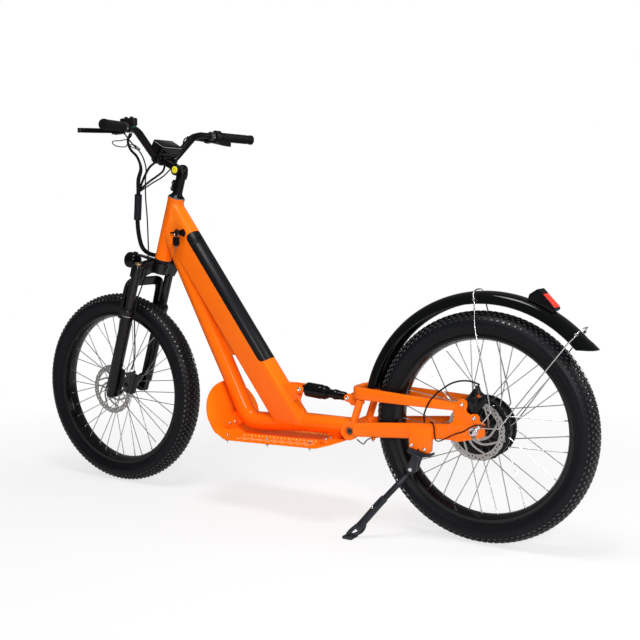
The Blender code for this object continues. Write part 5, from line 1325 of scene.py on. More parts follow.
def front_caliper():
    body = round_edges(block("caliper", (-24, 58, 56), (42, 30, 74), STEERING), 6, 4)
    foot = slab("foot", [(-30, 22), (1.6, 22), (1.6, 92), (-30, 92)], 72.4, 80, place=STEERING)
    parts = [crosswise("piston", (-22, 52), 72, 79, 15, 40, STEERING),
             crosswise("back", (-22, 52), 46, 38, 15, 40, STEERING), round_edges(foot, 2),
             round_edges(block("arm", (-34, 70, 98), (10, 10, 26), STEERING, slope=-20), 2)]
    join(body, *parts)
    cut(body, crosswise("disc_gap", (AXLE_X, 0), *DISC_GAP, DISC_ROOM, 96, STEERING))
    body.name = "front_caliper_body"
    dress(round_edges(body, 0.8, 2, 40), SATIN_CAST, "lowers", "black_metal", "front_caliper")
    cover = turned("cover", [(0, 79), (9, 79), (9, 80.4), (6, 80.8), (0, 80.8)], (-22, 0, 52),
                   (0, 1, 0), 32, STEERING)
    dress(cover, BLACK_ANODISED, "lowers", "black_metal")
    heads = [screw((-10, 80, h), (0, 1, 0), 5.4, 5, place=STEERING) for h in (32, 82)]
    dress(gather("front_caliper_screws", heads), STAINLESS, "lowers", "silver_steel")


fork_lowers()
nutted_axle("front_axle_and_nuts", "front_axle", FRONT_X, 5.0, 80.3, 93.0, "lowers")
front_caliper()


# Tyres
# Wide rubber tyres on hooked rims. Their tread is a field of small square knobs in staggered rows,
# with a smooth sidewall that has fine radial lines and a bead ring.
TYRE_HALF = 44.0
REAR_X = -718.3
KNOB_HEIGHT = 3.2
KNOB_STEPS = 112
KNOB_ROWS = [(0.0, 9.4, 7.2), (10.4, 9.6, 7.0), (20.4, 9.2, 7.0), (29.6, 9.4, 7.2), (37.6, 8.8, 7.0)]
TYRE_RUBBER = surfaced("tyre_rubber", (0.0026, 0.003, 0.0042), (0.005, 0.0056, 0.0074), 0.46,
                       0.08, 1200.0, 0.05, (0.02, 0.021, 0.025), 0.16, 0.006, shine=0.15)
# The pale colour that the edge mask lays on the knobs, with their high shine, is a painted glint on the
# tread, not wear.
KNOB_RUBBER_GLINTS = surfaced("knob_rubber_painted_glints", (0.0026, 0.003, 0.0042), (0.005, 0.0056, 0.0074), 0.24, 0.08,
                       900.0, 0.03, (0.3, 0.31, 0.34), 0.22, 0.006, shine=0.8)


def on_wheel(x, y, radius, angle):
    """A point radius away from the axle of the wheel at x."""
    return (x + radius * math.cos(angle), y, WHEEL_RADIUS + radius * math.sin(angle))


def carcass_radius(y):
    """Height of the casing under the knobs at a distance from the middle plane."""
    t = min(1.0, abs(y) / TYRE_HALF)
    return WHEEL_RADIUS - KNOB_HEIGHT - 46 * (1 - math.sqrt(1 - (0.94 * t) ** 2.2))


def knob(bm, place, y, deep, wide, high, angle):
    """One square knob with drawn-in flanks, standing on the casing at y."""
    slope = carcass_radius(y + 0.5) - carcass_radius(y - 0.5)
    up = Vector((0, -slope, 1)).normalized()
    across = Vector((0, up[2], -up[1]))
    foot = Vector((0, y, carcass_radius(y) - 0.8))
    spin = Matrix.Rotation(angle, 4, "Y")
    rings = []
    for level, shrink in ((0.0, 1.0), (high - 0.6, 0.84), (high, 0.68)):
        ring = []
        for a, b in ((-1, -1), (1, -1), (1, 1), (-1, 1)):
            spot = (foot + up * level + across * (a * wide / 2 * shrink)
                    + Vector((b * deep / 2 * shrink, 0, 0)))
            ring.append(bm.verts.new(place @ (spin @ (spot * 0.001))))
        rings.append(ring)
    for low, top in zip(rings, rings[1:]):
        for m in range(4):
            n = (m + 1) % 4
            bm.faces.new((low[m], low[n], top[n], top[m]))
    bm.faces.new(rings[-1])
    bm.faces.new(list(reversed(rings[0])))


def tread(name, x, body):
    bm = bmesh.new()
    place = Matrix.Translation(mm(x, 0, WHEEL_RADIUS))
    for k in range(KNOB_STEPS):
        for j, (away, deep, wide) in enumerate(KNOB_ROWS):
            angle = 2 * math.pi * (k + 0.5 * (j % 2)) / KNOB_STEPS
            high = KNOB_HEIGHT + 0.8 if j < 3 else KNOB_HEIGHT + 0.2 - 0.6 * (j - 3)
            for y in ((-away, away) if away else (0.0,)):
                knob(bm, place, y, deep, wide, high, angle)
    # The knobs take the rubber whose pale edge colour is a painted glint.
    dress(built(name, bm), KNOB_RUBBER_GLINTS, body, "tyre_rubber", sharp=40)


def tyre(name, node, x, body):
    tread(name + "_knobs", x, body)
    r = WHEEL_RADIUS
    half = []
    for k in range(13):
        y = TYRE_HALF * 0.985 * math.sin(math.radians(90 * k / 12))
        half.append((carcass_radius(y), y))
    half += [(r - 40, TYRE_HALF), (r - 50, TYRE_HALF * 0.92), (r - 60, TYRE_HALF * 0.72),
             (r - 63, 31.0), (r - 66, 30.4), (r - 68, 28.0), (r - 72, 25), (r - 75, 21)]
    outline = [(a, -b) for a, b in reversed(half[1:])] + half
    casing = turned("casing", outline, (x, 0, r), (0, 1, 0), 180)
    flank = [(r - 44, TYRE_HALF - 0.7), (r - 50, TYRE_HALF * 0.92 + 0.2),
             (r - 56, TYRE_HALF * 0.8 + 0.3)]
    lines = []
    for k in range(90):
        for sign in (-1, 1):
            run = [on_wheel(x, sign * y, radius, 2 * math.pi * k / 90) for radius, y in flank]
            lines.append(sweep("line", run, 0.7, 5))
    whole = gather(name, [casing, gather("lines", lines)])
    dress(whole, TYRE_RUBBER, body, "tyre_rubber", node, sharp=40)


tyre("front_tyre_rubber", "front_tyre", FRONT_X, "front_wheel")
tyre("rear_tyre_rubber", "rear_tyre", REAR_X, "rear_wheel")


# Rims
# Wide double-wall rims of extruded aluminium, rolled, welded and sprayed gloss black, with a
# polished line on the edge of each flange.
RIM_HALF = 29.5
RIM_INNER = 266.6
SPOKES = 36


def rim(name, node, x, body):
    r = RIM_INNER
    w = RIM_HALF
    half = [(r - 3, 0.0), (r - 3, 10), (r - 2, 14), (r + 1, 21), (r + 3.4, w - 1.4), (r + 5.4, w - 0.3),
            (r + 8, w), (r + 17.4, w), (r + 18.6, w - 0.3), (r + 19, w - 1.2), (r + 18, w - 2.2),
            (r + 16, w - 2.6), (r + 9.6, w - 3.2), (r + 8, w - 6), (r + 7, 6), (r + 7, 0.0)]
    outline = half + [(a, -b) for a, b in reversed(half) if b > 0]
    hoop = turned("hoop", outline, (x, 0, WHEEL_RADIUS), (0, 1, 0), 180)
    dress(hoop, GLOSS_FORK, body, "black_paint", node, sharp=30)
    hoop.name = name
    lines = []
    for sign in (-1, 1):
        y = sign * (w + 0.05)
        lines.append(turned("line", [(r + 17.3, y - 0.25), (r + 17.3, y + 0.12), (r + 18.3, y),
                                     (r + 18.6, y - 0.4 * sign)], (x, 0, WHEEL_RADIUS), (0, 1, 0), 180))
    dress(gather(name + "_edge_lines", lines), STAINLESS, body, "silver_steel")


rim("front_rim_hoop", "front_rim", FRONT_X, "front_wheel")
rim("rear_rim_hoop", "rear_rim", REAR_X, "rear_wheel")


# Spokes, hubs and hub motor
# Stainless spokes cross in pairs from hub flange to rim, each ending in a plated nipple. The front
# hub is a turned black shell, and the rear is a geared motor with ribbed covers and screws.
SPOKE_STEEL = bare_metal("spoke_steel", (0.42, 0.43, 0.41), 0.3)


def spoke_set(x, flange_radius, flanges, lean):
    """Crossing spokes from two hub flanges to the rim, and the nipples at their ends."""
    nipple = [(0, 0), (1.7, 0), (2.0, 0.8), (2.0, 11), (2.8, 11.4), (2.8, 13), (0, 13)]
    per_side = SPOKES // 2
    wires = []
    nipples = []
    for side, y in zip((-1, 1), flanges):
        for k in range(per_side):
            hole = 2 * math.pi * (k + (0.5 if side > 0 else 0.0)) / per_side
            lay = 1 if k % 2 else -1
            start = Vector(on_wheel(x, y + 2.1 * lay, flange_radius, hole))
            end = Vector(on_wheel(x, side * 5 + 0.84 * lay, RIM_INNER - 2.5, hole + lean * lay))
            line = (end - start).normalized()
            head = start - Vector((0, 2.24 * lay, 0))
            elbow = start + Vector((0, 0.21 * lay, 0))
            wires.append(sweep("spoke", [head, elbow, start + line * 4, end], 1.5, 8))
            nipples.append(turned("nipple", nipple, end - line * 12, line, 10))
    return wires, nipples


def front_hub():
    profile = [(5.4, -61.5), (9, -61.5), (10, -60.5), (12, -50), (14.5, -40), (17, -38.4),
               (29, -37.9), (30, -37), (30, -32), (29, -31.2), (18, -29), (16, -25.5), (15.4, 0),
               (16, 22.5), (18, 25.6), (29, 27.8), (30, 28.6), (30, 33), (29, 34), (25, 36.6),
               (24, 39), (24, 54.7), (16.8, 54.7), (16.8, 58), (15, 59.5), (11, 61.5), (5.4, 61.5)]
    hub = turned("front_hub_shell", profile, (FRONT_X, 0, WHEEL_RADIUS), (0, 1, 0), 72)
    dress(hub, GLOSS_FORK, "front_wheel", "black_metal", "front_hub")
    wires, nipples = spoke_set(FRONT_X, 26.5, (-34.5, 30.5), math.radians(60))
    dress(gather("front_spokes", wires), SPOKE_STEEL, "front_wheel", "silver_steel")
    dress(gather("front_nipples", nipples), STAINLESS, "front_wheel", "silver_steel")


def hub_motor():
    profile = [(7.4, -61.5), (20, -61.5), (22, -60.6), (24, -57), (52, -49), (58, -46.4), (62, -45),
               (82, -34), (86, -31.6), (93.4, -30), (94.4, -29.2), (94.4, -24.8), (93.4, -24),
               (88, -23), (87.4, -21), (87.4, 17), (88, 19), (93.4, 20), (94.4, 20.8), (94.4, 25.2),
               (93, 26.2), (86, 28), (76, 32.4), (72, 33.4), (30, 39.6), (28, 41), (27, 54.7),
               (19.6, 54.7), (19.6, 58), (17, 60), (12, 61.5), (7.4, 61.5)]
    shell = turned("hub_motor_shell", profile, (REAR_X, 0, WHEEL_RADIUS), (0, 1, 0), 108)
    dress(shell, SATIN_CAST, "rear_wheel", "black_metal", "hub_motor")
    ribs = []
    heads = []
    for k in range(18):
        angle = 2 * math.pi * k / 18
        for inner, outer in ((-52, -36), (37.4, 34.2)):
            run = [on_wheel(REAR_X, inner, 40, angle), on_wheel(REAR_X, outer, 78, angle)]
            ribs.append(sweep("rib", run, 2.2, 10))
        lug = [on_wheel(REAR_X, y, 90, angle) for y in (19, 28.4)]
        ribs.append(round_edges(rod("lug", *lug, 6.2, 20), 0.8))
        if k % 2 == 0:
            for side, y in ((-1, -32.6), (1, 28.4)):
                heads.append(screw(on_wheel(REAR_X, y, 84, angle), (0, side, 0), 3.2, 2.4))
    dress(gather("motor_cover_ribs", ribs), SATIN_CAST, "rear_wheel", "black_metal")
    dress(gather("motor_cover_screws", heads), STAINLESS, "rear_wheel", "silver_steel")
    wires, nipples = spoke_set(REAR_X, 91.0, (-27, 23), math.radians(20))
    dress(gather("rear_spokes", wires), SPOKE_STEEL, "rear_wheel", "silver_steel")
    dress(gather("rear_nipples", nipples), STAINLESS, "rear_wheel", "silver_steel")


front_hub()
hub_motor()


# Brake rotors
# Laser-cut steel discs, 180 mm across, with a wavy edge, a ring of drilled holes and eight swept
# windows. Six screws hold each to its hub.
ROTOR_STEEL = bare_metal("rotor_steel", (0.44, 0.42, 0.4), 0.36, (120.0, 120.0, 120.0), 0.01)
ROTOR_Y = 55.0
ROTOR_THICKNESS = 1.8


def rotor(name, node, x, hole_radius, body):
    y = ROTOR_Y
    edge = []
    for k in range(240):
        a = 2 * math.pi * k / 240
        edge.append(on_wheel(x, y, 89.8 - 1.8 * max(0.0, math.cos(a * 20)) ** 2, a)[::2])
    disc = slab("disc", edge, y, y + ROTOR_THICKNESS)
    rows = [(71, d) for d in range(-20, 21, 5)] + [(60, 28.5), (50, 43), (42, 58), (36, 68), (32, 72),
                                                   (36, 46), (42, 30), (50, 12), (60, -6)]
    rounding = [4] + [0] * 7 + [4, 8, 8, 8, 2, 1.5, 2, 8, 8, 8]
    windows = []
    for k in range(8):
        outline = [on_wheel(x, y, radius, math.radians(45 * k + d))[::2] for radius, d in rows]
        windows.append(slab("window", eased(outline, rounding, 3, True), y - 5, y + 5))
    middle = crosswise("middle", (x, WHEEL_RADIUS), y - 5, y + 5, hole_radius, 48)
    holes = []
    for k in range(44):
        spot = ((84.2, 80.6, 77.0, 80.6)[k % 4], 2 * math.pi * k / 44)
        holes.append(rod("hole", on_wheel(x, y - 3, *spot), on_wheel(x, y + 5, *spot), 2.5, 16))
    cut(disc, gather("windows", windows), middle, gather("holes", holes))
    disc.name = name
    dress(round_edges(disc, 0.2, 1, 60), ROTOR_STEEL, body, "rotor_steel", node)
    heads = []
    for k in range(6):
        spot = on_wheel(x, y + ROTOR_THICKNESS, hole_radius + 5.4, math.radians(60 * k + 12))
        heads.append(screw(spot, (0, 1, 0), 4.2, 2.8))
    dress(gather(name + "_screws", heads), STAINLESS, body, "silver_steel")


rotor("front_brake_disc", "front_rotor", FRONT_X, 18.0, "front_wheel")
rotor("rear_brake_disc", "rear_rotor", REAR_X, 21.0, "rear_wheel")


# Swingarm
# Two boxed stays with pivot bosses, struts and plate dropouts, tied by a bent loop that carries
# the shock's rear ears. All is welded, rides on the swing axle and is sprayed with the frame.
SHOCK_REAR = (-261.0, 0.0, 399.0)


def beam_rings(stations):
    """Rings of a rounded bar in side view: x, z middle, height, y inner, y outer."""
    rings = []
    for x, z, height, inner, outer in stations:
        c = min(8.0, (outer - inner) * 0.35)
        corners = [(outer - c, z - height / 2 + c, -90), (outer - c, z + height / 2 - c, 0),
                   (inner + c, z + height / 2 - c, 90), (inner + c, z - height / 2 + c, 180)]
        ring = []
        for y, h, start in corners:
            ring += arc((y, h), c, start, start + 90, 5)
        rings.append([(x, y, h) for y, h in ring])
    return rings


ARM_SEAMS = 6
ARM_CUT = 5


def swingarm_side(side):
    stations = [(-309, 308.5, 43, 47.5, 70), (-400, 318, 46, 48.5, 71.5),
                (-560, 333, 48, 50.5, 74), (-612, 337.3, 48, 51.2, 74.5),
                (-625, 338.3, 48, 60, 74.7), (-662, 341, 48, 60, 75)]
    rings = [[(x, side * y, z) for x, y, z in ring] for ring in beam_rings(stations)]
    stay = skin("stay", rings)
    profile = [(0, 39.2), (27.8, 39.2), (28.8, 40.2), (28.8, 60), (27.8, 61), (0, 61)]
    boss = turned("boss", profile, PIVOT, (0, side, 0), 72)
    strut = rod("strut", (-298, side * 51, 318), (-327, side * 53, 404.5), 12, 48)
    outline = [(-640, 407), (-652, 407), (-655, 392), (-652, 374), (-640, 364), (-640, 320),
               (-668, 313.5), (-700, 322), (-744, 334), (-752, 342), (-752, 370)]
    brow = [(-736, 381), (-735, 394), (-728, 402), (-715, 402), (-706, 399), (-697, 404),
            (-694, 412), (-697, 424), (-696, 437), (-684, 444), (-672, 441)]
    if side > 0:
        outline += [(-747, 378)] + brow + [(-664, 434), (-640, 431)]
    else:
        outline += [(-740, 384), (-700, 404), (-680, 424), (-664, 431), (-640, 431)]
    plate = slab("dropout_plate", eased(outline, 5, 4, True), *sorted((side * 67.8, side * 75.4)))
    parts = [(stay, 0), (boss, 1), (strut, 2), (round_edges(plate, 1.0, 2, 50), 3)]
    if side > 0:
        outline = eased([(-513, 345), (-511, 281), (-538, 276), (-543.5, 281), (-548, 274),
                         (-574, 268), (-585, 275), (-588, 345)], [0, 4, 1, 1, 1, 6, 6, 0], 5, True)
        stand = round_edges(slab("stand_plate", outline, 70, 82), 1.5, 3)
        guide = rod("cable_guide", (-378, 62, 302), (-378, 62, 284), 6)
        outline = [(-712, 373), (-690, 396), (-671, 423), (-667, 434)] + brow[::-1]
        outline = eased(outline + [(-747, 379), (-749, 374)], 4, 4, True)
        ears = round_edges(slab("caliper_ears", outline, 74.6, 77.2), 0.8, 2, 50)
        parts += [(stand, 4), (guide, 4), (ears, 3)]
    for thing, seam in parts:
        number(thing, seam, ARM_SEAMS)
    join(*[thing for thing, seam in parts])
    bore = [(0, 30), (12.6, 30), (12.6, 57.6), (17, 58.4), (17, 80), (0, 80)]
    room = [(-270, 405.45), (-661.05, 405.95), (-661.05, 430.05), (-270, 447.05)]
    cuts = [turned("bore", bore, PIVOT, (0, side, 0), 48),
            crosswise("axle_slot", (REAR_X, WHEEL_RADIUS), side * 60, side * 90, 7.4),
            block("mouth", (REAR_X, side * 72, WHEEL_RADIUS - 30), (14.2, 30, 60)),
            slab("loop_room", room, *sorted((side * 40, side * 90)))]
    cut(stay, *[number(tool, ARM_CUT, ARM_SEAMS) for tool in cuts])
    word = "left" if side > 0 else "right"
    row = beads("swingarm_welds_" + word, stay, ARM_CUT)
    dress(row, GLOSS_ORANGE, "swingarm", "orange_paint")
    stay.name = "swingarm_stay_" + word
    dress(stay, GLOSS_ORANGE, "swingarm", "orange_paint", "swingarm_" + word, sharp=28)


def swingarm_loop():
    line = [Vector(p) for p in eased([(-661, 67), (-520, 65.5), (-300.5, 52.5), (-300.5, -52.5),
                                      (-520, -65.5), (-661, -67)], [0, 0, 37, 37, 0, 0], 16)]
    rings = []
    for k, spot in enumerate(line):
        ahead = (line[min(k + 1, len(line) - 1)] - line[max(k - 1, 0)]).normalized()
        side = Vector((ahead[1], -ahead[0]))
        high = 447 - 17 * (-270 - spot[0]) / 391
        ring = []
        for out, level, start in ((10, 405.5, -90), (10, high, 0), (-10, high, 90), (-10, 405.5, 180)):
            corner = (out - math.copysign(6.5, out), level + (6.5 if level < 410 else -6.5))
            for across, z in arc(corner, 6.5, start, start + 90, 5):
                ring.append((spot[0] + side[0] * across, spot[1] + side[1] * across, z))
        rings.append(ring)
    band = number(skin("band", rings), 0, 3)
    eye = (SHOCK_REAR[0], SHOCK_REAR[2])
    ear = arc(eye, 12.5, -110, 70, 20) + [(-270, 414), (-300, 416), (-300, 378), (-276, 377)]
    tools = [round_edges(slab("rear_ear", ear, y - 2.7, y + 2.7), 0.9) for y in (-19, 19)]
    tools.append(round_edges(block("ear_foot", (-298, 0, 400), (8, 43.4, 44)), 2))
    tools.append(block("fender_tab", (-316, 0, 424), (14, 22, 5)))
    join(band, *[number(tool, 1, 3) for tool in tools])
    bore = crosswise("eye_bore", eye, -40, 40, 5.7)
    cut(band, number(bore, 2, 3))
    dress(beads("swingarm_loop_welds", band, 2), GLOSS_ORANGE, "swingarm", "orange_paint")
    band.name = "swingarm_loop_band"
    dress(band, GLOSS_ORANGE, "swingarm", "orange_paint", "swingarm_loop", sharp=28)


def swingarm_screws():
    heads = [screw((x, y, z), (0, y, 0), radius, height) for x, y, z, radius, height in (
        (-683, 77.2, 428, 6.2, 5.4), (-721, 77.2, 391, 6.2, 5.4), (-735, 84.0, 364, 5.0, 4.0),
        (-735, -84.0, 364, 5.0, 4.0), (-521, 82.0, 289, 5.6, 4.6), (-565, 82.0, 281, 5.6, 4.6))]
    dress(gather("swingarm_screws", heads), STAINLESS, "swingarm", "silver_steel")


swingarm_side(1)
swingarm_side(-1)
swingarm_loop()
swingarm_screws()
nutted_axle("rear_axle_and_nuts", "rear_axle", REAR_X, 7.0, 75.7, 93.0, "swingarm")


# Rear caliper
# A cast two-piston caliper bolts to the left dropout and straddles the rotor. A red spring clip
# and the silver edge of the pads show through its window.
RED_CLIP = surfaced("pad_clip", (0.75, 0.09, 0.01), (0.8, 0.13, 0.02), 0.4, 0.05, 900.0, 0.02,
                    (0.8, 0.3, 0.1), 0.2, 0.02)


def rear_caliper():
    body = round_edges(block("rear_brake", (-716, 55.2, 436), (54, 24.4, 66), slope=-38), 6, 4)
    parts = [crosswise("piston", (-717, 439), 60, 78, 15, 40),
             crosswise("back", (-717, 439), 46, 38, 15, 40)]
    parts += [crosswise("foot", spot, 58, 67.4, 11) for spot in ((-683, 428), (-721, 391))]
    parts.append(round_edges(block("arm", (-728, 66, 474), (12, 10, 26), slope=20), 2))
    join(body, *parts)
    window = round_edges(block("window", (-728, 60, 452), (13, 30, 22), slope=-38), 2)
    cut(body, crosswise("disc_gap", (REAR_X, WHEEL_RADIUS), *DISC_GAP, DISC_ROOM, 96), window)
    body.name = "rear_caliper_body"
    dress(round_edges(body, 0.8, 2, 40), SATIN_CAST, "swingarm", "black_metal", "rear_caliper")
    clip = round_edges(block("pad_clip", (-727, 62, 455), (9, 2.4, 12), slope=-38), 0.5)
    dress(clip, RED_CLIP, "swingarm", "black_metal")
    cover = turned("piston_cover", [(0, 78), (10, 78), (10, 79.2), (6, 79.8), (5, 79.8),
                                    (4.6, 78.6, "hex"), (0, 78.4)], (-717, 0, 439), (0, 1, 0), 36)
    dress(cover, BLACK_ANODISED, "swingarm", "black_metal")
    pad = round_edges(block("pad", (-729, 59.4, 449), (10, 1.8, 16), slope=-38), 0.3)
    dress(pad, STAINLESS, "swingarm", "silver_steel")


rear_caliper()


# Fender
# A gloss black steel guard with rolled edges and a flared flap at its end. Bent stainless wires
# carry it, clamped to its rim and screwed at an eyelet beside each dropout.
FENDER_AT = (-730.0, 349.0)
FENDER_RADIUS = 410.0
FENDER_GLOSS = surfaced("fender_gloss", (0.0014, 0.0018, 0.0018), (0.0028, 0.0034, 0.0034), 0.1, 0.03,
                        500.0, 0.006, (0.02, 0.024, 0.023), 0.2, 0.004, shine=0.2)


def fender_section(angle, lift=0.0):
    """Ring of the fender's bent sheet with rolled rims, at an angle about its centre."""
    outer = [(36.5, 38.2), (34.6, 39.3), (32.8, 38.6), (31, 37.7), (18, 37), (12.5, 34.6), (7.5, 29.4),
             (4, 23), (1.8, 16), (0.5, 9), (0, 0)]
    inner = [(36.5, 37), (34.6, 36.6), (32.8, 36.4), (31, 36), (18.6, 35.3), (13.8, 33), (9.2, 28),
             (5.9, 21.8), (3.8, 15), (2.5, 8.6), (2, 0)]
    whole = outer + [(a, -b) for a, b in reversed(outer[:-1])]
    whole += [(a, -b) for a, b in inner[:-1]] + list(reversed(inner))
    c, s = math.cos(math.radians(angle)), math.sin(math.radians(angle))
    reach = FENDER_RADIUS + lift
    return [(FENDER_AT[0] + (reach - deep) * c, y, FENDER_AT[1] + (reach - deep) * s)
            for deep, y in whole]


def fender():
    rings = [fender_section(11.5 + 124.5 * k / 90) for k in range(91)]
    last = fender_section(138.5, 3)
    rings += [fender_section(137.2, 1.2), last]
    for share in (0.25, 0.5, 0.75, 1.0):
        rings.append([(a - 0.72 * 34 * share, b * (1 + 0.04 * share), c - 0.69 * 34 * share)
                      for a, b, c in last])
    end = block("end_cut", (-1040, 0, 554), (120, 120, 100))
    shell = cut(skin("fender_shell", rings), end)
    tab = round_edges(block("shell_tab", (-327.5, 0, 430), (9, 22, 6)), 1)
    dress(gather("fender_sheet", [shell, tab]), FENDER_GLOSS, "swingarm", "gloss_black", "fender",
          sharp=40)


def fender_stays():
    front = [(-735, 80, 364), (-773, 80, 414), (-763, 79, 463), (-727, 72, 606), (-712, 62, 660),
             (-703, 44, 722), (-698, 41.5, 748), (-697, 30, 759), (-696.5, 12, 762.5)]
    rear = [(-735, 80, 364), (-797, 82, 368), (-985, 48, 624), (-1001, 42.5, 641),
            (-1010, 36, 656), (-1019.5, 16, 664.5)]
    parts = []
    for half, bend in ((front, [0, 5, 10, 30, 20, 14, 8, 14, 0]), (rear, [0, 6, 14, 14, 14, 0])):
        path = eased(half, bend, 6)
        whole = path + [(x, -y, z) for x, y, z in reversed(path)]
        parts.append(sweep("wire", whole, 2.1, 14))
    eyelet = [(2.6, 75.8), (6, 75.8), (6.5, 76.4), (6.5, 83.4), (6, 84), (2.6, 84)]
    clamp = [(0, -1), (4.2, -1), (4.4, 0), (4.4, 4), (3.6, 5), (0, 5)]
    for side in (-1, 1):
        parts.append(turned("eyelet", eyelet, (-735, 0, 364), (0, side, 0), 32))
        for x, y, z in ((-701, 42, 735), (-1005, 40, 648)):
            parts.append(turned("rim_clamp", clamp, (x, side * y, z), (0, side, 0), 20))
    dress(gather("fender_wires", parts), STAINLESS, "swingarm", "silver_steel", "fender_stays")


fender()
fender_stays()


# Tail light
# A moulded black housing sits on the fender's crown, with a red prismatic lens set into its
# rear face.
RED_LENS = surfaced("red_lens", (0.62, 0.008, 0.006), (0.8, 0.03, 0.018), 0.12, 0.04, 300.0, 0.05,
                    (0.95, 0.12, 0.08), 0.14, 0.01, shine=0.4)


def tail_light():
    outline = eased([(-858, 741), (-862, 755), (-888, 772), (-898, 761), (-940, 714), (-930, 704),
                     (-915, 693)], [0, 5, 6, 4, 5, 5, 0], 5, True)
    body = round_edges(slab("tail", outline, -24, 24), 4, 4, 50)
    skirt = crosswise("skirt", FENDER_AT, -40, 40, FENDER_RADIUS + 0.4, 360)
    pocket = slab("pocket", [(-900, 771), (-897.6, 752), (-931, 715.5), (-948, 722)], -20.4, 20.4)
    cut(body, skirt, pocket)
    body.name = "tail_light_shell"
    dress(body, MOULDED_BLACK, "swingarm", "black_plastic", "tail_light_body")
    lens = slab("tail_lens", [(-902, 757), (-898.2, 752), (-931, 716), (-939, 719)], -20, 20)
    ribs = [sweep("prism", [(-903.4, y, 755.0), (-937.2, y, 720.2)], 1.7, 10)
            for y in [-17.4 + 2.9 * k for k in range(13)]]
    red = gather("tail_light_glass", [round_edges(lens, 1.4, 3)] + ribs)
    dress(red, RED_LENS, "swingarm", "lamp_red", "tail_light_lens")


tail_light()


# Side stand
# A cast bracket bolts to the plate under the left stay. The leg is a forged bar with a sleeve
# that slides for height, a lock button and a looped foot.
STAND_ALLOY = surfaced("stand_alloy", (0.011, 0.012, 0.016), (0.019, 0.021, 0.027), 0.34, 0.06,
                       900.0, 0.03, (0.09, 0.1, 0.13), 0.12, 0.006, shine=0.25)


def stand_bracket():
    outline = eased([(-509, 268), (-513, 279), (-540, 273.5), (-574, 265.5), (-588, 271), (-589, 263),
                     (-560, 256), (-526, 261)], 2, 4, True)
    head = round_edges(slab("head", outline, 62, 92), 1.5, 2)
    cheek = eased([(-532, 265), (-557, 260), (-548, 238), (-541, 212), (-524, 200), (-508, 212),
                   (-514, 230)], [0, 0, 14, 14, 14, 14, 16], 6, True)
    neck = round_edges(slab("neck", cheek, 89, 98), 2, 3)
    inner = round_edges(slab("inner", cheek, 71, 79), 2, 3)
    join(head, neck, inner)
    cut(head, crosswise("bore", (-524, 217), 60, 110, 5.3))
    head.name = "stand_bracket_casting"
    dress(head, STAND_ALLOY, "swingarm", "black_metal", "kickstand_bracket")


def flowing(points, steps=6):
    """A smooth line through the given points."""
    spots = [Vector(p) for p in points]
    spots = [spots[0] * 2 - spots[1]] + spots + [spots[-1] * 2 - spots[-2]]
    out = []
    for a, b, c, d in zip(spots, spots[1:], spots[2:], spots[3:]):
        for j in range(steps):
            t = j / steps
            out.append(tuple(0.5 * (b * 2 + (c - a) * t + (a * 2 - b * 5 + c * 4 - d) * t * t
                                    + (b * 3 - a - c * 3 + d) * t ** 3)))
    out.append(tuple(spots[-2]))
    return out


def stand_leg():
    x, z = -524, 217
    parts = [crosswise("eye", (x, z), 79.5, 88.5, 15, 40),
             sweep("upper", flowing([(-519, 84, 210), (-511, 84.2, 199), (-505, 86, 191),
                                     (-498, 92, 182), (-486, 106, 167), (-462, 120, 137),
                                     (-438, 134, 108)], 3),
                   [4.2 + min(1.0, max(0.0, (k - 2) / 7)) * 4.8 for k in range(19)], 24),
             sweep("sleeve", flowing([(-452, 126, 125), (-438, 134, 108), (-395, 158, 50),
                                      (-378, 167.5, 28)], 3), [11.5] + [12] * 8 + [11.5], 28)]
    for a in (-1, 1):
        run = flowing([(-400, 155, 57), (-384 + a * 10, 163 + a * 14, 34),
                       (-372 + a * 12, 170 + a * 18, 17), (-361 + a * 5, 177 + a * 8, 6.5)], 4)
        parts.append(sweep("foot_side", run, 6.2, 20))
    parts.append(round_edges(block("foot", (-360, 177, 5), (34, 44, 10)), 3.4, 4))
    leg = parts.pop(0)
    join(leg, *parts)
    leg.name = "stand_leg_forging"
    dress(leg, STAND_ALLOY, "stand", "black_metal", "kickstand_leg")
    pin = turned("pin", [(0, 69), (5, 69), (5, 98.4), (6, 98.4), (6, 100.4), (4.6, 101.6), (0, 101.6)],
                 (x, 0, z), (0, 1, 0), 32)
    button = turned("button", [(0, 0), (4, 0), (4, 2.4), (3, 3.2), (0, 3.2)], (-424, 152.2, 98),
                    (0.3, 0.8, 0.5), 24)
    dress(gather("stand_pin_and_button", [pin, button]), STAINLESS, "stand", "silver_steel")


stand_bracket()
stand_leg()


# Shock absorber
# An air can slides over a shaft between two eyes, both gloss black. The can ends in a dust wiper,
# the shaft has a rebound collar, and the eyes turn on steel pins.
SHOCK_DROP = math.degrees(math.atan2(13.0, 182.0))
SHOCK = leaning(SHOCK_FRONT, -SHOCK_DROP)
SHOCK_LENGTH = math.hypot(182.0, 13.0)


def shock_pin(name, run, radius, out, head, height, body):
    """Steel pin through an eye, run along the shock, and a screw head out on each side of it."""
    pins = [crosswise("pin", (run, 0), -22, 22, radius, 24, SHOCK)]
    for side in (-1, 1):
        pins.append(screw((run, side * out, 0), (0, side, 0), head, height, place=SHOCK))
    dress(gather(name, pins), STAINLESS, body, "silver_steel")


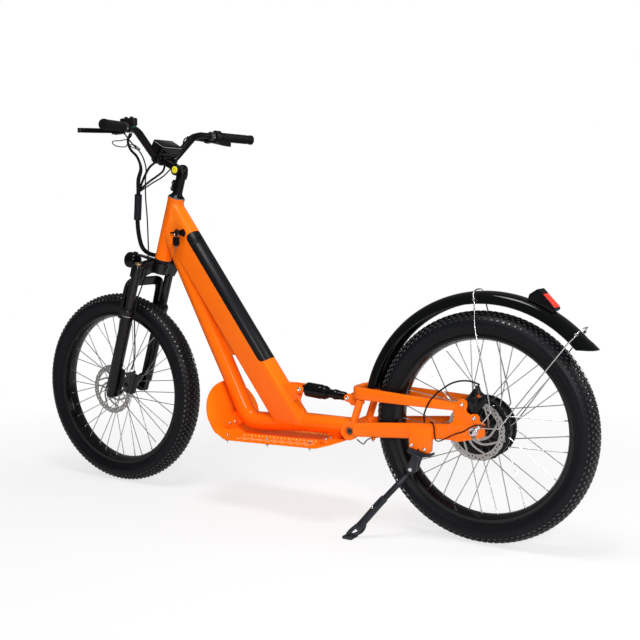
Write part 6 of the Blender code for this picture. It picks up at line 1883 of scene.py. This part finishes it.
def shock():
    profile = [(0, 15), (12, 15), (20, 16), (23, 18), (24, 22), (24, 30), (23.3, 30.6), (23.3, 31.8),
               (24, 32.4), (24, 73), (23.2, 75), (21.6, 76), (21.6, 80), (22.6, 81), (22.6, 90),
               (21.6, 92), (19.8, 96), (18.6, 98.4), (16, 99), (14.8, 99), (14.8, 40), (0, 40)]
    can = turned("air_can", profile, (0, 0, 0), (-1, 0, 0), 56, SHOCK)
    neck = round_edges(block("neck", (-16, 0, 0), (24, 18, 18), SHOCK), 3, 3)
    eye = turned("eye", drum(11, 15.3, 0.8), (0, 0, 0), (0, 1, 0), 40, SHOCK)
    join(can, neck, eye)
    can.name = "shock_air_can"
    dress(can, GLOSS_SHELL, "shock_upper", "gloss_black", "shock_can")
    shock_pin("shock_front_pin", 0, 5, 21.9, 7.6, 4.0, "shock_upper")
    far = -SHOCK_LENGTH
    profile = [(0, 74), (14.2, 74), (14.2, 121), (16.4, 122), (17, 123), (17, 129.4), (15.8, 131.4),
               (15.8, 138), (14.6, 139), (14.2, 140), (14.2, SHOCK_LENGTH - 22),
               (12.6, SHOCK_LENGTH - 18), (0, SHOCK_LENGTH - 18)]
    shaft = turned("shaft", profile, (0, 0, 0), (-1, 0, 0), 48, SHOCK)
    fork = round_edges(block("fork", (far + 14, 0, 0), (22, 18, 18), SHOCK), 3, 3)
    eye = turned("eye", drum(10, 15.3, 0.8), (far, 0, 0), (0, 1, 0), 40, SHOCK)
    join(shaft, fork, eye)
    shaft.name = "shock_shaft_and_eye"
    dress(shaft, GLOSS_SHELL, "shock_lower", "gloss_black", "shock_shaft")
    shock_pin("shock_rear_pin", far, 4.6, 22.1, 7.2, 3.8, "shock_lower")


shock()


# Cables
# Black sheathed leads run from the controls into one loom, which enters a thick moulded joint and
# then the frame. A cable and a hose go to the calipers, and a wire is tied to the left stay.
CABLE_SKIN = surfaced("cable_skin", (0.0024, 0.0024, 0.003), (0.0045, 0.0045, 0.005), 0.36, 0.06,
                      1600.0, 0.02, (0.02, 0.02, 0.02), 0.2, 0.005, shine=0.12)
SLEEVE_SKIN = surfaced("sleeve_skin", (0.0075, 0.0085, 0.013), (0.011, 0.0125, 0.019), 0.4, 0.06,
                       1600.0, 0.02, (0.03, 0.03, 0.04), 0.2, 0.012, shine=0.16)
TRUNK = [(463, 210, 1255), (488, 194, 1234), (497, 172, 1208), (501, 135, 1184), (508, 110, 1147),
         (534, 95, 1108), (549, 80, 1065), (561, 70, 1019), (574, 60, 971), (580, 48, 917),
         (577, 34, 872), (568, 8, 849), (545, -28, 838), (511, -51, 824), (476, -61, 790),
         (430, -62, 752), (388, -58, 726), (366, -48, 714), (362, -32.2, 711)]
BRANCH = [(473, 58, 1180), (488, 64, 1166), (505, 72, 1149), (523, 84, 1108), (543, 80, 1074)]
THIRD = [(470, 26, 1165), (474, 34, 1140), (486, 52, 1122), (504, 66, 1106), (530, 78, 1083),
         (550, 79, 1062)]
FOURTH = [(530.6, -170.8, 1270.1), (533, -158, 1262), (520, -126, 1228), (512, -70, 1168),
          (513, -16, 1126), (524, 36, 1098), (548, 80, 1066)]
FRONT_CABLE = [(530.6, 170.8, 1270.1), (533, 159, 1262), (522, 135, 1230), (508, 106, 1196),
               (501, 92, 1150), (506, 91, 1100), (506, 91, 1040), (499, 94, 985), (498, 93, 918),
               (504, 87, 850), (526, 80, 777), (540, 84, 736), (548, 100, 691), (548, 116, 640),
               (548, 118, 590), (560, 106, 500), (592, 82, 452), (606, 73, 433)]


def laid(name, parts):
    """Cable pieces as one mesh, painted but not yet hung on a body."""
    whole = gather(name, parts)
    whole.data.materials.clear()
    whole.data.materials.append(CABLE_SKIN)
    whole.data.shade_smooth()
    return whole


def loom():
    upper = flowing(TRUNK[:8], 6)
    swell = [4.5 + min(1.0, max(0.0, (k - 21) / 6)) * 2.6 for k in range(len(upper))]
    parts = [sweep("trunk", upper, swell, 16), sweep("branch", flowing(BRANCH, 6), 4.3, 14),
             sweep("third", flowing(THIRD, 6), 3.8, 14), sweep("fourth", flowing(FOURTH, 6), 2.5, 12)]
    top = laid("loom_upper", parts)
    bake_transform(top)
    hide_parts("cable_loom")
    lower = laid("loom_lower", [sweep("trunk", flowing(TRUNK[7:], 8), 7.6, 20)])
    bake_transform(lower)
    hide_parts("cable_loom")
    run = flowing([(551, 78, 1058), (561, 70, 1019), (574, 60, 971)], 6)
    joint = round_edges(sweep("loom_joint", run, 12.9, 32), 0.8)
    dress(joint, SLEEVE_SKIN, "steering", "cable_skin")


def front_cable():
    path = flowing(FRONT_CABLE, 6)
    joint = 6 * 8
    top = laid("front_cable_upper", [sweep("upper", path[:joint + 1], 2.4, 14)])
    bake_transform(top)
    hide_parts("front_brake_cable")
    low = laid("front_cable_lower", [sweep("lower", path[joint:], 2.4, 14)])
    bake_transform(low)
    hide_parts("front_brake_cable")


def rear_leads():
    hose = [(-554, 64, 360.2), (-560, 77, 388), (-580, 86.5, 426), (-603, 89, 453), (-626, 88, 472),
            (-649, 84, 488), (-675, 78, 497), (-700, 71, 498), (-718, 66, 493.4), (-731.7, 66, 489.1)]
    dress(sweep("rear_hose", flowing(hose, 6), 2.6, 16), CABLE_SKIN, "swingarm", "cable_skin",
          "rear_brake_hose")
    lead = [(-572, 62, 361.4), (-585, 73, 362.6), (-593, 79, 353), (-595, 79.5, 332),
            (-597, 78.5, 315), (-601, 75.5, 309.5), (-610, 75.5, 310), (-626, 79, 318), (-661, 79.5, 337),
            (-690, 84, 349), (-700, 86, 356), (-728, 87, 372), (-752, 84, 372), (-764, 73, 366),
            (-760, 65.5, 357), (-746, 64.7, 351.5), (-729.9, 64.7, 350)]
    dress(sweep("motor_lead", flowing(lead, 6), 1.9, 14), CABLE_SKIN, "swingarm", "cable_skin",
          "motor_cable")
    wire = [(-325, 72, 282), (-348, 72, 268), (-361, 72, 284), (-372, 68, 291), (-400, 64, 296.5),
            (-470, 62, 300), (-520, 60, 303)]
    tie = [(-381, 66, 281), (-381, 74, 287), (-381, 72, 294), (-381, 60, 295), (-381, 57, 285)]
    parts = [sweep("wire", eased(wire, 6, 4), 1.8, 12), sweep("tie", flowing(tie, 4), 1.3, 8)]
    dress(gather("stay_wire_and_tie", parts), CABLE_SKIN, "swingarm", "cable_skin")


def control_leads():
    first = [(448, 228, 1281), (443, 235, 1243), (472, 240, 1233), (503, 245, 1232), (510, 245, 1226),
             (499, 240, 1216), (478, 220, 1213), (484, 200, 1224)]
    second = [(443, 225, 1282), (443, 225, 1250), (455, 225, 1238), (460, 222, 1225), (456, 215, 1214),
              (443, 205, 1206), (439, 190, 1205), (470, 185, 1222), (492, 182, 1222)]
    parts = [sweep("loop", flowing(path, 6), 1.7, 10) for path in (first, second)]
    dress(gather("control_leads", parts), CABLE_SKIN, "bars", "cable_skin")


loom()
front_cable()
rear_leads()
control_leads()


# Floor, light and camera
# The studio has a pale floor that runs to white behind the object, one broad lamp overhead and
# two smaller ones at the left and the rear. The camera looks over the rider's left shoulder.


def white_rays(tree):
    """Socket that is 1 for rays that should meet plain white: camera and transmission rays."""
    ray = shading("LightPath", tree)
    feeds = {0: ray.outputs["Is Camera Ray"], 1: ray.outputs["Is Transmission Ray"]}
    return shading("Math", tree, feeds, operation="MAXIMUM").outputs[0]


def studio_floor():
    """Pale floor that fades to plain white between 0.9 and 2.2 metres from the bike's middle."""
    bm = bmesh.new()
    bmesh.ops.create_grid(bm, x_segments=1, y_segments=1, size=30.0)
    floor = solid("studio_floor", bm)
    material, tree, shader = blank_finish("studio_white", Base_Color=(0.9, 0.9, 0.9, 1),
                                          Roughness=0.9, Specular_IOR_Level=0.1)
    glow = shading("Emission", tree, {"Strength": 1.0, "Color": (1, 1, 1, 1)})
    place = shading("TexCoord", tree)
    away = shading("VectorMath", tree, {0: place.outputs["Object"]}, operation="LENGTH")
    bare = shading("MapRange", tree, {"Value": away.outputs["Value"], "From Min": 0.9,
                                      "From Max": 2.2, "To Min": 0.72})
    seen = shading("Math", tree, {0: bare.outputs[0], 1: white_rays(tree)}, operation="MULTIPLY")
    mix = shading("MixShader", tree, {0: seen.outputs[0], 1: shader.outputs[0], 2: glow.outputs[0]})
    tree.links.new(mix.outputs[0], tree.nodes["Material Output"].inputs["Surface"])
    floor.data.materials.append(material)


def studio_light():
    world = bpy.data.worlds.new("studio")
    bpy.context.scene.world = world
    world.use_nodes = True
    tree = world.node_tree
    room = tree.nodes["Background"]
    room.inputs["Color"].default_value = (1, 1, 1, 1)
    room.inputs["Strength"].default_value = 0.17
    white = shading("Background", tree, {"Strength": 1.0, "Color": (1, 1, 1, 1)})
    mix = shading("MixShader", tree, {0: white_rays(tree), 1: room.outputs[0], 2: white.outputs[0]})
    tree.links.new(mix.outputs[0], tree.nodes["World Output"].inputs["Surface"])
    for name, place, aim, size, power in (
            ("top_lamp", (-0.5, 0.9, 4.0), (0, 0, 0.5), 1.3, 92.0),
            ("left_lamp", (-3.0, 3.6, 2.2), (0, 0, 0.6), 1.0, 115.0),
            ("rear_lamp", (-4.2, -1.2, 2.6), (0, 0, 0.6), 1.0, 70.0)):
        data = bpy.data.lights.new(name, "AREA")
        data.size = size
        data.energy = power
        lamp = put(name, data)
        lamp.location = place
        lamp.rotation_euler = (Vector(aim) - Vector(place)).to_track_quat("-Z", "Y").to_euler()


FILM_WIDTH = 36.0
PICTURE_WIDTH = 640
FOCAL_LENGTH = 994.49


def camera():
    """The camera fitted to the photograph, its focal length known in the picture's pixels."""
    eye = mm(-1834.1, 2743.5, 977.2)
    yaw, pitch, roll = 0.5513, 0.1033, -0.0054
    look = Vector((math.sin(yaw) * math.cos(pitch), -math.cos(yaw) * math.cos(pitch),
                   -math.sin(pitch)))
    right = look.cross(Vector((0, 0, 1))).normalized()
    up = right.cross(look)
    across = right * math.cos(roll) + up * math.sin(roll)
    lift = across.cross(look)
    data = bpy.data.cameras.new("photo_camera")
    data.sensor_width = FILM_WIDTH
    data.lens = FOCAL_LENGTH / PICTURE_WIDTH * FILM_WIDTH
    body = put("photo_camera", data)
    body.matrix_world = Matrix.Translation(eye) @ Matrix((across, lift, -look)).transposed().to_4x4()
    bpy.context.scene.camera = body


studio_floor()
studio_light()
camera()
bpy.context.scene.view_settings.view_transform = "Standard"
